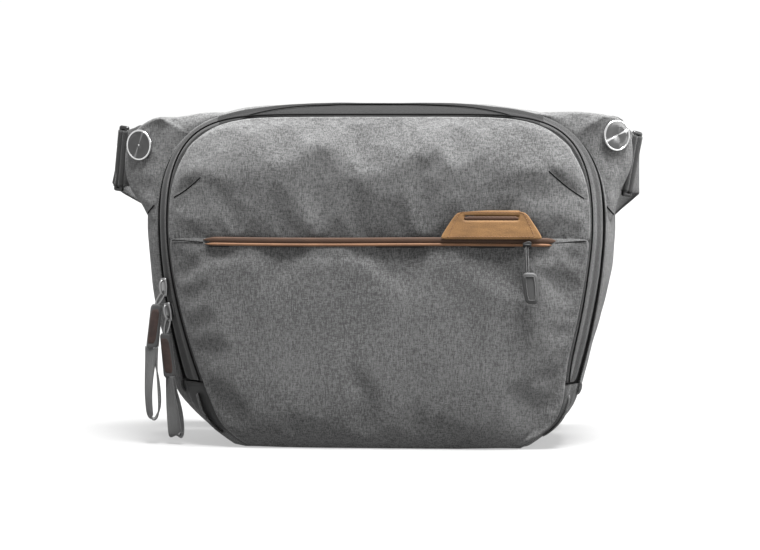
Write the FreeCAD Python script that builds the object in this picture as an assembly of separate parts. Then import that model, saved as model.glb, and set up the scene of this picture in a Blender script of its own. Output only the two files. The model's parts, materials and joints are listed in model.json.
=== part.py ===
"""Camera sling bag: a padded main compartment with a fold-down front lid, a zipped front pocket,
two strap wings with aluminium anchors, a webbing shoulder strap and movable dividers.

Millimetres. +X is to the right seen from the front, +Y to the back, +Z up. The origin is the centre
of the base's underside. Each sub-part is written to parts/NAME.step.
"""

import math
import os

import FreeCAD
import Part

os.makedirs("parts", exist_ok=True)

# ---- driving dimensions -------------------------------------------------------------------
FRONT_Y = -48.0         # plane of the front panel's edge
ZIP_Y = -28.0           # plane where the two halves of the main zip meet
BACK_Y = 50.0           # outer face of the back panel
DEEPEST_Y = 5.0         # depth at which the outline is largest
HALF_WIDTH = 157.5      # half width of the shell at its widest
HEIGHT = 229.5          # height of the shell at its highest
HIGHEST_Y = -8.0        # and the depth where that is
WIDE_Z = 147.0          # height of the widest point
ACROSS_POWER = (4.6, 7.0)       # superellipse power of the shoulders across, at the zip and at the front
UP_POWER = 2.5          # and upwards
TAPER = (0.0063, 0.0085)        # how fast the sides come in below the widest point, likewise
TAPER_POWER = 1.7
CORNER = (12.0, 25.0)   # how far the bottom corner is cut in, at the edges and at the fullest depth
CORNER_Z = (20.0, 42.0) # and the height it reaches
EDGE_LOSS_W = 18.5      # how much narrower the outline is at the edges than at its fullest
EDGE_REACH = 53.0
FRONT_LOSS_H = 10.5     # how much lower it is at the front edge and at the back edge
BACK_LOSS_H = 3.5

FOLD_Z = 43.0           # the lid folds forward at this height
FOLD_Y = -60.0
POCKET_Z = 139.0        # seam between the upper front panel and the pocket
MOUTH_Z = 134.0         # upper edge of the pocket's face, where its mouth begins
GAP = 0.3               # clearance between neighbouring pieces
WALL = 8.0              # padded wall thickness
FRONT_BULGE = 12.0      # how far the upper front panel stands out
POCKET_BULGE = 9.0
CORE_FRONT_Y = -47.6    # outer and inner faces of the lid's padded core
CORE_BACK_Y = -40.0
INSIDE_BACK_Y = 40.0    # rear edge of the walls, where the back panel closes them
BACK_PANEL_Y = 41.8
BACK_SHAPE_Y = 46.0     # depth whose outline the back panel follows
SLEEVE_TOP_Z = 172.0
SHELL_FRONT_Y = -24.0   # front edge of the rear shell
BAND_BACK_Y = -31.0     # rear edge of the lid's smooth band
TOP_SPLIT = 105.0       # half width where the side walls give way to the top wall
BAND_SPLIT = 84.0       # half width where the lid's smooth side bands give way to its top strip

ZIP_INSET = 1.5         # how far the zip lies under the skin
ZIP_THICK = 2.6
LINK_PIN = 5.0          # height of the pull's pin above the skin
LINK_R = 0.6
LINK_HALF = 4.2
TAB_W, TAB_T, TAB_LENGTH = 9.2, 4.0, 30.0
TAB_TWIST = 68.0        # how far the hanging tabs face forwards
SLIDER_Y = -28.8        # depth of the main zip's sliders
RIBBON_W, RIBBON_T = 10.0, 1.2

WING_START_X = 147.0
WING_Y = -24.7          # depth of the wing's face where it leaves the shell
WING_THICK = 5.0
DISC_R = 10.5
CAP_T = 2.6
CAP_LIFT = 0.5
DISC_X = 162.0
DISC_Z = 204.5
SIDES = {               # how each soft wing lies and turns outwards, and how its connector hangs
    "left": dict(sign=-1, yaw=28.0, reach=2.0, lift=-3.0, swivel=7.0, bar_reach=23.5, bar_drop=-12.0,
                 strap_shift=3.0),
    "right": dict(sign=1, yaw=34.0, reach=-5.4, lift=3.5, swivel=-12.0, bar_reach=25.0, bar_drop=-15.0,
                  strap_shift=-6.0),
}
STUD_R = 3.0
TAB_PLATE = 2.6         # thickness of the webbing tab that swivels behind the wing
TAB_ROUND = 8.4
BAR_LENGTH = 42.0
BAR_R = 1.6

STRAP_W = 38.0
STRAP_T = 1.6
STRAP_Y = 86.0          # the strap lies on the floor along this line
STRAP_Z = 4.2
PAD_LENGTH, PAD_W, PAD_T = 130.0, 52.0, 9.0
PAD_X = 20.0
ADJUSTER_X = -74.0

DIVIDER_X = 48.0
DIVIDER_T = 6.0
DIVIDER_HINGE_Z = 111.0
DIVIDER_TOP_Z = 165.0

V = FreeCAD.Vector


def save(name, *shapes):
    """Writes one node, after checking that each of its solids is closed and valid."""
    solids = [solid for shape in shapes for solid in shape.Solids]
    for solid in solids:
        if not solid.isValid() or not solid.isClosed() or solid.Volume <= 0:
            print("BAD", name, solid.isValid(), solid.isClosed(), solid.Volume)
    shape = solids[0] if len(solids) == 1 else Part.makeCompound(solids)
    shape.exportStep(f"parts/{name}.step")
    box = shape.BoundBox
    print(f"{name:24s} {len(solids):2d} x{box.XMin:8.1f}{box.XMax:8.1f} y{box.YMin:7.1f}{box.YMax:7.1f}"
          f" z{box.ZMin:7.1f}{box.ZMax:7.1f}")


# ---- the shell's outline ------------------------------------------------------------------
def fullness(y):
    """0 where the outline is largest, growing towards the front and back edges."""
    return ((y - DEEPEST_Y) / EDGE_REACH) ** 2


def from_zip_to_front(y, values):
    """A value that changes evenly from the zip's plane to the front panel's edge."""
    share = min(1.0, max(0.0, (ZIP_Y - y) / (ZIP_Y - FRONT_Y)))
    return values[0] + (values[1] - values[0]) * share


def half_width(y, inset=0.0):
    return HALF_WIDTH - EDGE_LOSS_W * fullness(y) - inset


def top_z(y, inset=0.0):
    ahead = max(0.0, (HIGHEST_Y - y) / (HIGHEST_Y - FRONT_Y))
    behind = max(0.0, (y - HIGHEST_Y) / (BACK_Y - HIGHEST_Y))
    return HEIGHT - FRONT_LOSS_H * ahead ** 3 - BACK_LOSS_H * behind ** 2 - inset


def corner_cut(z, y):
    """How far the bottom corner is cut in at height z."""
    full = max(0.0, 1 - fullness(y))
    cut = CORNER[0] + (CORNER[1] - CORNER[0]) * full
    reach = CORNER_Z[0] + (CORNER_Z[1] - CORNER_Z[0]) * full
    return cut * max(0.0, 1 - z / reach) ** 2


def side_x(z, y, inset=0.0):
    """Half width of the outline at height z and depth y."""
    w = half_width(y, inset)
    if z <= WIDE_Z:
        return w - from_zip_to_front(y, TAPER) * (WIDE_Z - z) ** TAPER_POWER - corner_cut(z, y)
    rise = min(1.0, (z - WIDE_Z) / (top_z(y, inset) - WIDE_Z))
    return w * (1 - rise ** UP_POWER) ** (1 / from_zip_to_front(y, ACROSS_POWER))


def column_top(x, y, inset=0.0):
    """Height of the outline's upper edge at x."""
    across = min(1.0, abs(x) / half_width(y, inset)) ** from_zip_to_front(y, ACROSS_POWER)
    return WIDE_Z + (top_z(y, inset) - WIDE_Z) * (1 - across) ** (1 / UP_POWER)


def outline(t, y, inset=0.0):
    """(x, z) on the right half of the outline: t runs from 0 at the bottom through 0.5 at the
    widest point to 1 at the top centre."""
    if t <= 0.5:
        z = t / 0.5 * WIDE_Z
        return side_x(z, y, inset), z
    angle = (t - 0.5) * math.pi
    x = half_width(y, inset) * max(0.0, math.cos(angle)) ** (2 / from_zip_to_front(y, ACROSS_POWER))
    return x, WIDE_Z + (top_z(y, inset) - WIDE_Z) * math.sin(angle) ** (2 / UP_POWER)


def t_at_z(z):
    return 0.5 * z / WIDE_Z


def t_at_x(x, y, inset=0.0):
    across = x / half_width(y, inset)
    return 0.5 + math.acos(across ** (from_zip_to_front(y, ACROSS_POWER) / 2)) / math.pi


def spread(a, b, n):
    return [a + (b - a) * i / (n - 1) for i in range(n)]


# ---- solids from grids of points ------------------------------------------------------------
def surface(grid):
    s = Part.BSplineSurface()
    s.interpolate([[V(*p) for p in row] for row in grid])
    return s


def thick_sheet(outer, inner):
    """A closed solid between two grids of points that match row for row."""
    a, b = surface(outer), surface(inner)
    faces = [a.toShape(), b.toShape()]
    ends_a, ends_b = a.bounds(), b.bounds()
    pairs = [(a.uIso(ends_a[i]), b.uIso(ends_b[i])) for i in (0, 1)]
    pairs += [(a.vIso(ends_a[i]), b.vIso(ends_b[i])) for i in (2, 3)]
    faces += [Part.makeRuledSurface(p.toShape(), q.toShape()) for p, q in pairs]
    shell = Part.makeShell(faces)
    shell.sewShape()
    solid = Part.makeSolid(shell)
    if solid.Volume < 0:
        solid.reverse()
    return solid


def skin_band(sign, ts, ys, outset, thick):
    """Part of the shell's skin: one side, over outline positions ts and depths ys."""
    def grid(inset):
        rows = []
        for y in ys:
            points = [outline(t, y, inset) for t in ts]
            rows.append([(sign * x, y, z) for x, z in points])
        return rows
    return thick_sheet(grid(-outset), grid(thick - outset))


def top_band(split, ys, outset, thick):
    """The skin across the top, between two side bands that end at half width split."""
    right_ts = spread(1.0, t_at_x(split - 2 * GAP, ZIP_Y), 8)

    def grid(inset):
        rows = []
        for y in ys:
            right = [outline(t, y, inset) for t in right_ts]
            left = [(-x, y, z) for x, z in reversed(right[1:])]
            rows.append(left + [(x, y, z) for x, z in right])
        return rows
    return thick_sheet(grid(-outset), grid(thick - outset))


def plate(y0, y1, z_low, inset, y_shape):
    """A flat panel that follows the outline from height z_low over the top."""
    ts = spread(t_at_z(z_low), 0.5, 6) + spread(0.5, 1.0, 12)[1:]
    right = [outline(t, y_shape, inset) for t in ts]
    points = [V(-x, y0, z) for x, z in right] + [V(x, y0, z) for x, z in reversed(right[:-1])]
    curve = Part.BSplineCurve()
    curve.interpolate(points)
    base = Part.makeLine(points[-1], points[0])
    return Part.Face(Part.Wire([curve.toShape(), base])).extrude(V(0, y1 - y0, 0))


def floor_plate(y0, y1, z0, z1):
    """The base, which fits between the lower side walls."""
    ys = spread(y0, y1, 8)
    right = [V(side_x(0, y, WALL + GAP), y, z0) for y in ys]
    left = [V(-p.x, p.y, z0) for p in reversed(right)]
    return Part.Face(Part.makePolygon(right + left + right[:1])).extrude(V(0, 0, z1 - z0))


def box(x0, x1, y0, y1, z0, z1, radius=0.0):
    shape = Part.makeBox(x1 - x0, y1 - y0, z1 - z0, V(x0, y0, z0))
    return shape.makeFillet(radius, shape.Edges) if radius else shape


def prism(points, y0, y1):
    """A polygon in the XZ plane, extruded from y0 to y1."""
    corners = [V(x, y0, z) for x, z in points]
    return Part.Face(Part.makePolygon(corners + corners[:1])).extrude(V(0, y1 - y0, 0))


def placed(shape, origin, x_axis, y_axis, z_axis):
    """The shape moved from its own axes to origin and axes in the bag's frame."""
    m = FreeCAD.Matrix(
        x_axis[0], y_axis[0], z_axis[0], origin[0],
        x_axis[1], y_axis[1], z_axis[1], origin[1],
        x_axis[2], y_axis[2], z_axis[2], origin[2],
        0, 0, 0, 1)
    moved = shape.copy()
    moved.Placement = FreeCAD.Placement(m).multiply(moved.Placement)
    return moved


# ---- rear shell -------------------------------------------------------------------------------
def rear_shell():
    save("base_panel", floor_plate(FRONT_Y + GAP, INSIDE_BACK_Y, 0, WALL))
    save("base_stiffener", box(-86, 86, FRONT_Y + 9, 28, WALL + GAP, WALL + 1.8))
    save("back_panel", plate(BACK_PANEL_Y, BACK_Y, 0, 0.5, BACK_SHAPE_Y))
    save("back_stiffener", plate(INSIDE_BACK_Y + GAP, BACK_PANEL_Y - GAP, 12, 14, BACK_SHAPE_Y))
    sleeve = plate(31, 34, WALL + 1, 16, BACK_SHAPE_Y)
    save("tablet_sleeve", sleeve.common(box(-200, 200, 0, 60, 0, SLEEVE_TOP_Z)))
    save("top_wall", top_band(TOP_SPLIT, spread(SHELL_FRONT_Y, INSIDE_BACK_Y, 6), 0, WALL))
    upper_ts = spread(t_at_z(FOLD_Z + GAP), 0.5, 5) + spread(0.5, t_at_x(TOP_SPLIT, ZIP_Y), 9)[1:]
    lower_ts = spread(0, t_at_z(FOLD_Z - GAP), 7)
    for side, s in SIDES.items():
        upper = skin_band(s["sign"], upper_ts, spread(SHELL_FRONT_Y, INSIDE_BACK_Y, 6), 0, WALL)
        save(f"side_wall_{side}", upper)
        lower = skin_band(s["sign"], lower_ts, spread(FRONT_Y + GAP, INSIDE_BACK_Y, 7), 0, WALL)
        save(f"lower_side_{side}", lower)
    z_low, z_high = WALL + GAP, FOLD_Z - GAP
    wide_low, wide_high = (side_x(z, FRONT_Y) - WALL - 1.5 for z in (z_low, z_high))
    corners = [(-wide_low, z_low), (wide_low, z_low), (wide_high, z_high), (-wide_high, z_high)]
    save("lower_front_wall", prism(corners, CORE_FRONT_Y, CORE_BACK_Y))


def back_pad(sign):
    """A crowned pad on one half of the back."""
    def grid(crown):
        rows = []
        for v in spread(0, 1, 7):
            row = []
            for u in spread(0, 1, 7):
                swell = (16 * u * (1 - u) * v * (1 - v)) ** 0.5
                depth = BACK_Y + GAP + (2.0 + 5.0 * swell if crown else 0.0)
                row.append((sign * (9.0 + 103.0 * u), depth, 30 + 150 * v))
            rows.append(row)
        return rows
    return thick_sheet(grid(True), grid(False))


# ---- lid ------------------------------------------------------------------------------------------
def front_y(x, z, bulge):
    """Depth of the front surface, standing out from the front panel's edge."""
    across = min(1.0, abs(x) / max(1.0, side_x(min(z, WIDE_Z), FRONT_Y)))
    up = min(1.0, abs(z - 108) / 112)
    return FRONT_Y - 1.4 - bulge * (1 - across ** 4) ** 0.75 * (1 - up ** 4) ** 0.75


def upper_panel():
    w = half_width(FRONT_Y) - 1
    xs = [w * math.sin(a) for a in spread(-math.pi / 2, math.pi / 2, 15)]
    vs = spread(0, 1, 8)

    def grid(back):
        rows = []
        for v in vs:
            row = []
            for x in xs:
                top = max(column_top(x, FRONT_Y, 1), POCKET_Z + 6)
                z = POCKET_Z + GAP + (top - POCKET_Z - GAP) * v
                crown = 0.45 * (1 - v ** 3) + 0.55 * (4 * v * (1 - v)) ** 0.5
                y = FRONT_Y - 1.4 - FRONT_BULGE * (1 - (x / w) ** 4) ** 0.75 * crown
                row.append((x, FRONT_Y + 0.1 if back else y, z))
            rows.append(row)
        return rows
    save("upper_front_panel", thick_sheet(grid(False), grid(True)))


def pocket_face():
    """The front pocket's face, in two pieces that part at the fold."""
    for name, low, high in (("lower", 0.4, FOLD_Z - GAP), ("upper", FOLD_Z + GAP, MOUTH_Z)):
        def grid(back, z0=low, z1=high):
            rows = []
            for z in spread(z0, z1, 7):
                wide = side_x(z, FRONT_Y) - 0.8
                row = []
                for u in spread(-1, 1, 13):
                    x = wide * math.sin(u * math.pi / 2)
                    y = front_y(x, z, POCKET_BULGE)
                    row.append((x, y + (1.2 if back else 0.0), z))
                rows.append(row)
            return rows
        save(f"pocket_face_{name}", thick_sheet(grid(False), grid(True)))


def lid():
    save("lid_core", plate(CORE_FRONT_Y, CORE_BACK_Y, FOLD_Z + GAP, WALL + 2, FRONT_Y))
    organizer = plate(CORE_BACK_Y + GAP, CORE_BACK_Y + 3, 58, 20, FRONT_Y)
    save("lid_organizer", organizer.common(box(-200, 200, -60, 0, 0, 150)))
    upper_panel()
    pocket_face()
    ys = spread(FRONT_Y + GAP, BAND_BACK_Y, 4)
    for side, s in SIDES.items():
        ts = spread(t_at_z(FOLD_Z + GAP), 0.5, 5) + spread(0.5, t_at_x(BAND_SPLIT, ZIP_Y), 10)[1:]
        save(f"lid_band_{side}", skin_band(s["sign"], ts, ys, 0, 3))
    save("lid_band_top", top_band(BAND_SPLIT, ys, 0, 3))


def zip_halves():
    """The two halves of the main zip, from one fold over the top to the other."""
    for name, y0, y1 in (("front", -30.6, ZIP_Y - 0.2), ("rear", ZIP_Y + 0.2, -25.4)):
        ts = spread(t_at_z(FOLD_Z + GAP), 0.5, 6) + spread(0.5, 1.0, 12)[1:]

        def grid(inset):
            rows = []
            for y in (y0, (y0 + y1) / 2, y1):
                right = [outline(t, y, inset) for t in ts]
                left = [(-x, y, z) for x, z in right]
                rows.append(left + [(x, y, z) for x, z in reversed(right[:-1])])
            return rows
        save(f"main_zip_{name}_half", thick_sheet(grid(ZIP_INSET), grid(ZIP_INSET + ZIP_THICK)))
    signs = [s["sign"] for s in SIDES.values()]
    garage = spread(t_at_z(36), t_at_z(FOLD_Z - GAP), 4)
    save("zip_garages", *[skin_band(sign, garage, spread(-32, -23, 3), 1.3, 1.1) for sign in signs])
    stowed = spread(t_at_z(9), t_at_z(35), 6)
    save("carry_straps", *[skin_band(sign, stowed, spread(-45, -34, 3), 3.1, 2.6) for sign in signs])


# ---- front pocket's zip, trim and label -------------------------------------------------------------
def pocket_line_y(x, z=MOUTH_Z + 4):
    return front_y(x, z, POCKET_BULGE)


def strip(x0, x1, z_low, z_high, stand, thick, n=15):
    """A strip across the front, standing out from the pocket's face."""
    def grid(back):
        rows = []
        for v in (0.0, 0.5, 1.0):
            row = []
            for x in spread(x0, x1, n):
                z = z_low + (z_high - z_low) * v
                row.append((x, pocket_line_y(x) - stand + (thick if back else 0.0), z))
            rows.append(row)
        return rows
    return thick_sheet(grid(False), grid(True))


def pocket_mouth():
    save("pocket_zip_chain", strip(-112, 112, MOUTH_Z + 0.4, MOUTH_Z + 5.0, 0.6, 1.4))
    save("trim_lower_lip", strip(-114, 116, MOUTH_Z + 1.4, MOUTH_Z + 4.8, 3.2, 1.6))
    save("trim_upper_lip", strip(-116, 118, MOUTH_Z + 5.2, MOUTH_Z + 7.8, 3.8, 3.0))
    y0 = pocket_line_y(77) - 8.4
    foot = MOUTH_Z + 6.6
    wedge = [(43, 0), (108, 0), (97, 15.4), (94, 17.4), (55, 17.4), (52, 15.4)]
    slot = [(57, 12.0), (93, 12.0), (90, 15.2), (60, 15.2)]
    plain = prism([(x, foot + up) for x, up in wedge], y0, y0 + 1.6)
    slot = prism([(x, foot + up) for x, up in slot], y0 - 1, y0 + 3)
    save("label_patch", plain.cut(slot))


def wire_link(pin, down, length, half, wire):
    """A closed rectangular link that hangs from its upper bar, at pin."""
    foot = pin + down * length
    side = V(half, 0, 0)
    bars = [Part.makeCylinder(wire, 2 * half, corner - side, V(1, 0, 0)) for corner in (pin, foot)]
    bars += [Part.makeCylinder(wire, length, pin + side * k, down) for k in (-1, 1)]
    bars += [Part.makeSphere(wire, corner + side * k) for corner in (pin, foot) for k in (-1, 1)]
    link = bars[0]
    for bar in bars[1:]:
        link = link.fuse(bar)
    return link


def pocket_slider():
    """The front pocket's slider at the right-hand end, with its cord and tab hanging. It clears the
    lips where they stand out most, at the middle."""
    x, z = 99.0, MOUTH_Z + 2.6
    y = pocket_line_y(0) - 4.2
    body = box(x - 4, x + 4, y - 2.6, y, z - 3, z + 3, 0.8)
    bridge = box(x - 1.2, x + 1.2, y - 5.2, y - 2.4, z - 2.4, z + 2.4).cut(
        box(x - 2, x + 2, y - 4.4, y - 3.0, z - 1.6, z + 1.6))
    save("pocket_slider", body.fuse(bridge))
    pin = V(x, y - 3.7, z - 0.6)
    link = wire_link(pin, V(0, 0, -1), 6.4, 2.0, 0.45)
    cord = Part.makeCylinder(0.9, 12.4, pin - V(0, 0, 6.2), V(0, 0, -1))
    save("pocket_pull_cord", link.fuse(cord))
    save("pocket_pull_tab", box(x - 3, x + 8, pin.y - 1.6, pin.y + 1.6, MOUTH_Z - 35, MOUTH_Z - 17, 1.2))
    print("  pull axis at", [round(v, 2) for v in pin])


# ---- main zip's sliders and pulls ---------------------------------------------------------------
def zip_frame(z, travel):
    """A slider's frame on the left side at height z: origin on the skin, direction across the zip,
    outward direction and direction of travel, which is the chord of the skin from z to z + travel."""
    rise = side_x(z + travel, SLIDER_Y) - side_x(z, SLIDER_Y)
    up = V(-rise / travel, 0, 1).normalize()
    level = V(0, 1, 0)
    return V(-side_x(z, SLIDER_Y), SLIDER_Y, z), level, up.cross(level), up


def ribbon_loop(top_gap, foot_gap, length):
    """A hanging loop of ribbon: two legs that part towards the foot."""
    def wedge(spare, low):
        corners = [(-foot_gap / 2 - spare, low), (foot_gap / 2 + spare, low),
                   (top_gap / 2 + spare, 0), (-top_gap / 2 - spare, 0)]
        points = [V(-RIBBON_W / 2, y, z) for y, z in corners]
        return Part.Face(Part.makePolygon(points + points[:1])).extrude(V(RIBBON_W, 0, 0))
    inner = wedge(0, RIBBON_T - length).common(box(-9, 9, -9, 9, -length, -4))
    return wedge(RIBBON_T, -length).cut(inner)


def main_slider(name, z, travel, lean, link_length, foot_z):
    origin, level, normal, up = zip_frame(z, travel)
    body = box(-4.6, 4.6, 0.6, 3.8, -6.2, 6.2, 1.0)
    bridge = box(-1.2, 1.2, 3.6, 6.8, -4.6, 4.6).cut(box(-2, 2, 4.0, 6.0, -3.4, 3.4))
    save(f"{name}_slider", placed(body.fuse(bridge), origin, level, normal, up))
    pin = V(0, LINK_PIN, 0)
    lean = math.radians(lean)
    down = V(0, math.sin(lean), -math.cos(lean))
    foot = pin + down * link_length
    link = wire_link(pin, down, link_length, LINK_HALF, LINK_R)
    save(f"{name}_pull_link", placed(link, origin, level, normal, up))

    hang = origin + level * foot.x + normal * foot.y + up * foot.z
    twist = math.radians(TAB_TWIST)
    flat = V(-math.cos(twist), -math.sin(twist), 0)
    side = V(flat.y, -flat.x, 0)
    top = hang - V(0, 0, LINK_R + GAP)
    tab = box(-TAB_W / 2, TAB_W / 2, -TAB_T / 2, TAB_T / 2, -TAB_LENGTH, 0, 0.8)
    save(f"{name}_pull_tab", placed(tab, top, side, flat, V(0, 0, 1)))
    below = top - V(0, 0, TAB_LENGTH + GAP)
    loop = ribbon_loop(0.8, 3.4, below.z - foot_z)
    save(f"{name}_pull_loop", placed(loop, below, side, flat, V(0, 0, 1)))
    axis_point = origin + level * pin.x + normal * pin.y + up * pin.z
    print("  travel", [round(v, 4) for v in up], "pull axis at", [round(v, 2) for v in axis_point],
          "along", [round(v, 4) for v in level], "normal", [round(v, 4) for v in normal])


# ---- wings, anchors and connectors ---------------------------------------------------------------
WING_FIN = [            # the fin's outline: half width, height
    (147, 214), (147, 196), (152.4, 186), (157.8, 174), (161, 165), (162.4, 165), (165, 168),
    (169, 174), (172, 183), (173, 193), (172, 202), (167.5, 211), (160, 217), (147, 220.5)]
WING_TOP = [            # the part of the wing over the shoulder, level with the zip
    (147, 220.5), (130, 222.3), (108, 223.9), (116, 219.8), (126, 214.8), (134, 208.8),
    (141, 201), (147, 192)]


def wing_depth(s, x):
    """Depth of the fin's face at half width x."""
    return WING_Y + math.tan(math.radians(s["yaw"])) * (x - WING_START_X)


def wing_directions(s):
    """The wing face's normal and its level outward direction."""
    yaw = math.radians(s["yaw"])
    normal = V(s["sign"] * math.sin(yaw), -math.cos(yaw), 0)
    return normal, V(s["sign"] * math.cos(yaw), math.sin(yaw), 0)


def wing(s):
    """A flat fin that turns back from the zip, and a lip over the shoulder, as one piece."""
    def far(x):
        return min(1.0, max(0.0, (x - 152) / 14))
    normal, _ = wing_directions(s)
    fin = []
    for x, z in WING_FIN:
        wide = x + s["reach"] * far(x)
        fin.append(V(s["sign"] * wide, wing_depth(s, wide), z + s["lift"] * far(x)))
    fin_solid = Part.Face(Part.makePolygon(fin + fin[:1])).extrude(normal * -WING_THICK)
    lip = [V(s["sign"] * x, WING_Y, z) for x, z in WING_TOP]
    lip_solid = Part.Face(Part.makePolygon(lip + lip[:1])).extrude(V(0, WING_THICK, 0))
    shoulder = spread(0.42, t_at_x(90, ZIP_Y), 14)
    room = skin_band(s["sign"], shoulder, spread(WING_Y - 2, 14, 5), 0.4, 12)
    return fin_solid.fuse(lip_solid).cut(room)


def anchor(side, s):
    """The round anchor that rivets the wing to the connector behind it."""
    x = DISC_X + s["reach"]
    centre = V(s["sign"] * x, wing_depth(s, x), DISC_Z + s["lift"])
    normal, outward = wing_directions(s)
    hole = Part.makeCylinder(STUD_R + 0.2, 40, centre - normal * 20, normal)
    save(f"wing_{side}", wing(s).cut(hole))
    cap = Part.makeCylinder(DISC_R, CAP_T, centre + normal * CAP_LIFT, normal)
    recess = Part.makeCylinder(DISC_R - 1.1, 0.5, centre + normal * (CAP_LIFT + CAP_T - 0.4), normal)
    save(f"anchor_disc_{side}", cap.cut(recess))
    foot = WING_THICK + 5.2
    stud = Part.makeCylinder(STUD_R, foot + CAP_LIFT, centre - normal * foot, normal)
    backplate = Part.makeCylinder(8.0, 1.4, centre - normal * (foot + 1.4), normal)
    connector(side, s, centre, normal, outward)
    return stud, backplate


def connector(side, s, centre, normal, outward):
    """The swivelling webbing tab and its strap bar, in a plane behind the wing."""
    turn = math.radians(s["swivel"])
    along = outward * math.cos(turn) + V(0, 0, 1) * math.sin(turn)
    across = V(0, 0, 1) * math.cos(turn) - outward * math.sin(turn)
    face_out = along.cross(across)

    def local(shape, depth):
        return placed(shape, centre - normal * depth, along, across, face_out)
    reach, drop = s["bar_reach"], s["bar_drop"]
    high, low = drop + STRAP_W / 2, drop - STRAP_W / 2
    end = reach - 6.4
    corners = [(0, TAB_ROUND), (end, high), (end, low), (10, low + 5), (-5, -TAB_ROUND * 0.83)]
    points = [V(a, b, -TAB_PLATE / 2) for a, b in corners]
    plate_shape = Part.Face(Part.makePolygon(points + points[:1])).extrude(V(0, 0, TAB_PLATE))
    plate_shape = plate_shape.fuse(Part.makeCylinder(TAB_ROUND, TAB_PLATE, V(0, 0, -TAB_PLATE / 2)))
    bore = Part.makeCylinder(STUD_R + 0.06, 20, V(0, 0, -10))
    depth = WING_THICK + 2.6
    save(f"connector_tab_{side}", local(plate_shape.cut(bore), depth))
    half = BAR_LENGTH / 2
    inner = reach - 4.6
    ring = None
    corners = [(inner, drop - half), (reach, drop - half), (reach, drop + half), (inner, drop + half)]
    for i, (a, b) in enumerate(corners):
        a2, b2 = corners[(i + 1) % 4]
        way = V(a2 - a, b2 - b, 0)
        rod = Part.makeCylinder(BAR_R, way.Length, V(a, b, 0), way)
        ring = rod if ring is None else ring.fuse(rod)
        ring = ring.fuse(Part.makeSphere(BAR_R, V(a, b, 0)))
    save(f"strap_ring_{side}", local(ring, depth))
    bar = centre - normal * depth + along * reach + across * drop
    print("  swivel axis at", [round(v, 3) for v in centre], "normal", [round(v, 4) for v in normal],
          "bar", [round(v, 2) for v in bar])


# ---- strap --------------------------------------------------------------------------------------
STRAP_DROP = [          # centre line and width direction of the strap, from the bar to the floor
    ((179.0, 20, 187), (0.00, 0.10, 1.00)),
    ((175.0, 34, 182), (0.05, 0.25, 0.95)),
    ((164.0, 54, 171), (0.15, 0.35, 0.93)),
    ((150.0, 72, 152), (0.35, 0.45, 0.82)),
    ((139.0, 82, 124), (0.45, 0.80, 0.45)),
    ((134.0, 86, 90), (0.20, 1.00, 0.15)),
    ((131.0, 86, 52), (0.00, 1.00, 0.00)),
    ((124.0, 86, 22), (0.00, 1.00, 0.00)),
    ((108.0, 86, 7), (0.00, 1.00, 0.00)),
]


def strap_drop(s):
    """A webbing end: from the connector's bar round behind the bag and down to the floor."""
    shares = [1.0, 0.85, 0.5, 0.2] + [0.0] * (len(STRAP_DROP) - 4)
    points = [V(s["sign"] * (p[0] + share * s["strap_shift"]), p[1], p[2])
              for (p, _), share in zip(STRAP_DROP, shares)]
    faces = [[], []]
    for i, (_, w) in enumerate(STRAP_DROP):
        ahead = points[min(i + 1, len(points) - 1)] - points[max(i - 1, 0)]
        ahead.normalize()
        width = V(s["sign"] * w[0], w[1], w[2])
        width = (width - ahead * width.dot(ahead)).normalize()
        normal = ahead.cross(width).normalize()
        for face, half in zip(faces, (STRAP_T / 2, -STRAP_T / 2)):
            across = [points[i] + width * (STRAP_W / 2 * k) + normal * half for k in (-1, 0, 1)]
            face.append([tuple(p) for p in across])
    return thick_sheet(*faces)


def strap():
    for side, s in SIDES.items():
        save(f"strap_drop_{side}", strap_drop(s))
    low, high = STRAP_Y - STRAP_W / 2, STRAP_Y + STRAP_W / 2
    save("strap_floor_run", box(-104, 104, low, high, STRAP_Z - STRAP_T / 2, STRAP_Z + STRAP_T / 2))
    half_l, half_w, half_slot = PAD_LENGTH / 2, PAD_W / 2, STRAP_T / 2 + 0.4
    pad = box(PAD_X - half_l, PAD_X + half_l, STRAP_Y - half_w, STRAP_Y + half_w, 0, PAD_T, 3.0)
    slot = box(-150, 150, low - 1, high + 1, STRAP_Z - half_slot, STRAP_Z + half_slot)
    save("shoulder_pad", pad.cut(slot))


def adjuster():
    """A cam buckle on the strap: a frame with two cheeks, a pin and a lever."""
    low, high = STRAP_Y - STRAP_W / 2 - 1, STRAP_Y + STRAP_W / 2 + 1
    x = ADJUSTER_X
    floor = box(x - 12, x + 12, low - 2, high + 2, 0, 1.8)
    cheeks = [box(x - 12, x + 12, a, b, 0, 11.5) for a, b in ((low - 2, low), (high, high + 2))]
    frame = floor.fuse(cheeks[0]).fuse(cheeks[1])
    pin_z = 8.6
    hole = Part.makeCylinder(1.05, 60, V(x - 6, STRAP_Y - 30, pin_z), V(0, 1, 0))
    save("adjuster_frame", frame.cut(hole))
    save("adjuster_pin", Part.makeCylinder(1.0, high - low + 5, V(x - 6, low - 2.5, pin_z), V(0, 1, 0)))
    hub = Part.makeCylinder(2.6, high - low - 0.8, V(x - 6, low + 0.4, pin_z), V(0, 1, 0))
    arm = box(x - 6, x + 16, low + 0.4, high - 0.4, pin_z - 0.6, pin_z + 2.4)
    bore = Part.makeCylinder(1.05, 60, V(x - 6, STRAP_Y - 30, pin_z), V(0, 1, 0))
    save("adjuster_lever", hub.fuse(arm).cut(bore))


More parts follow.
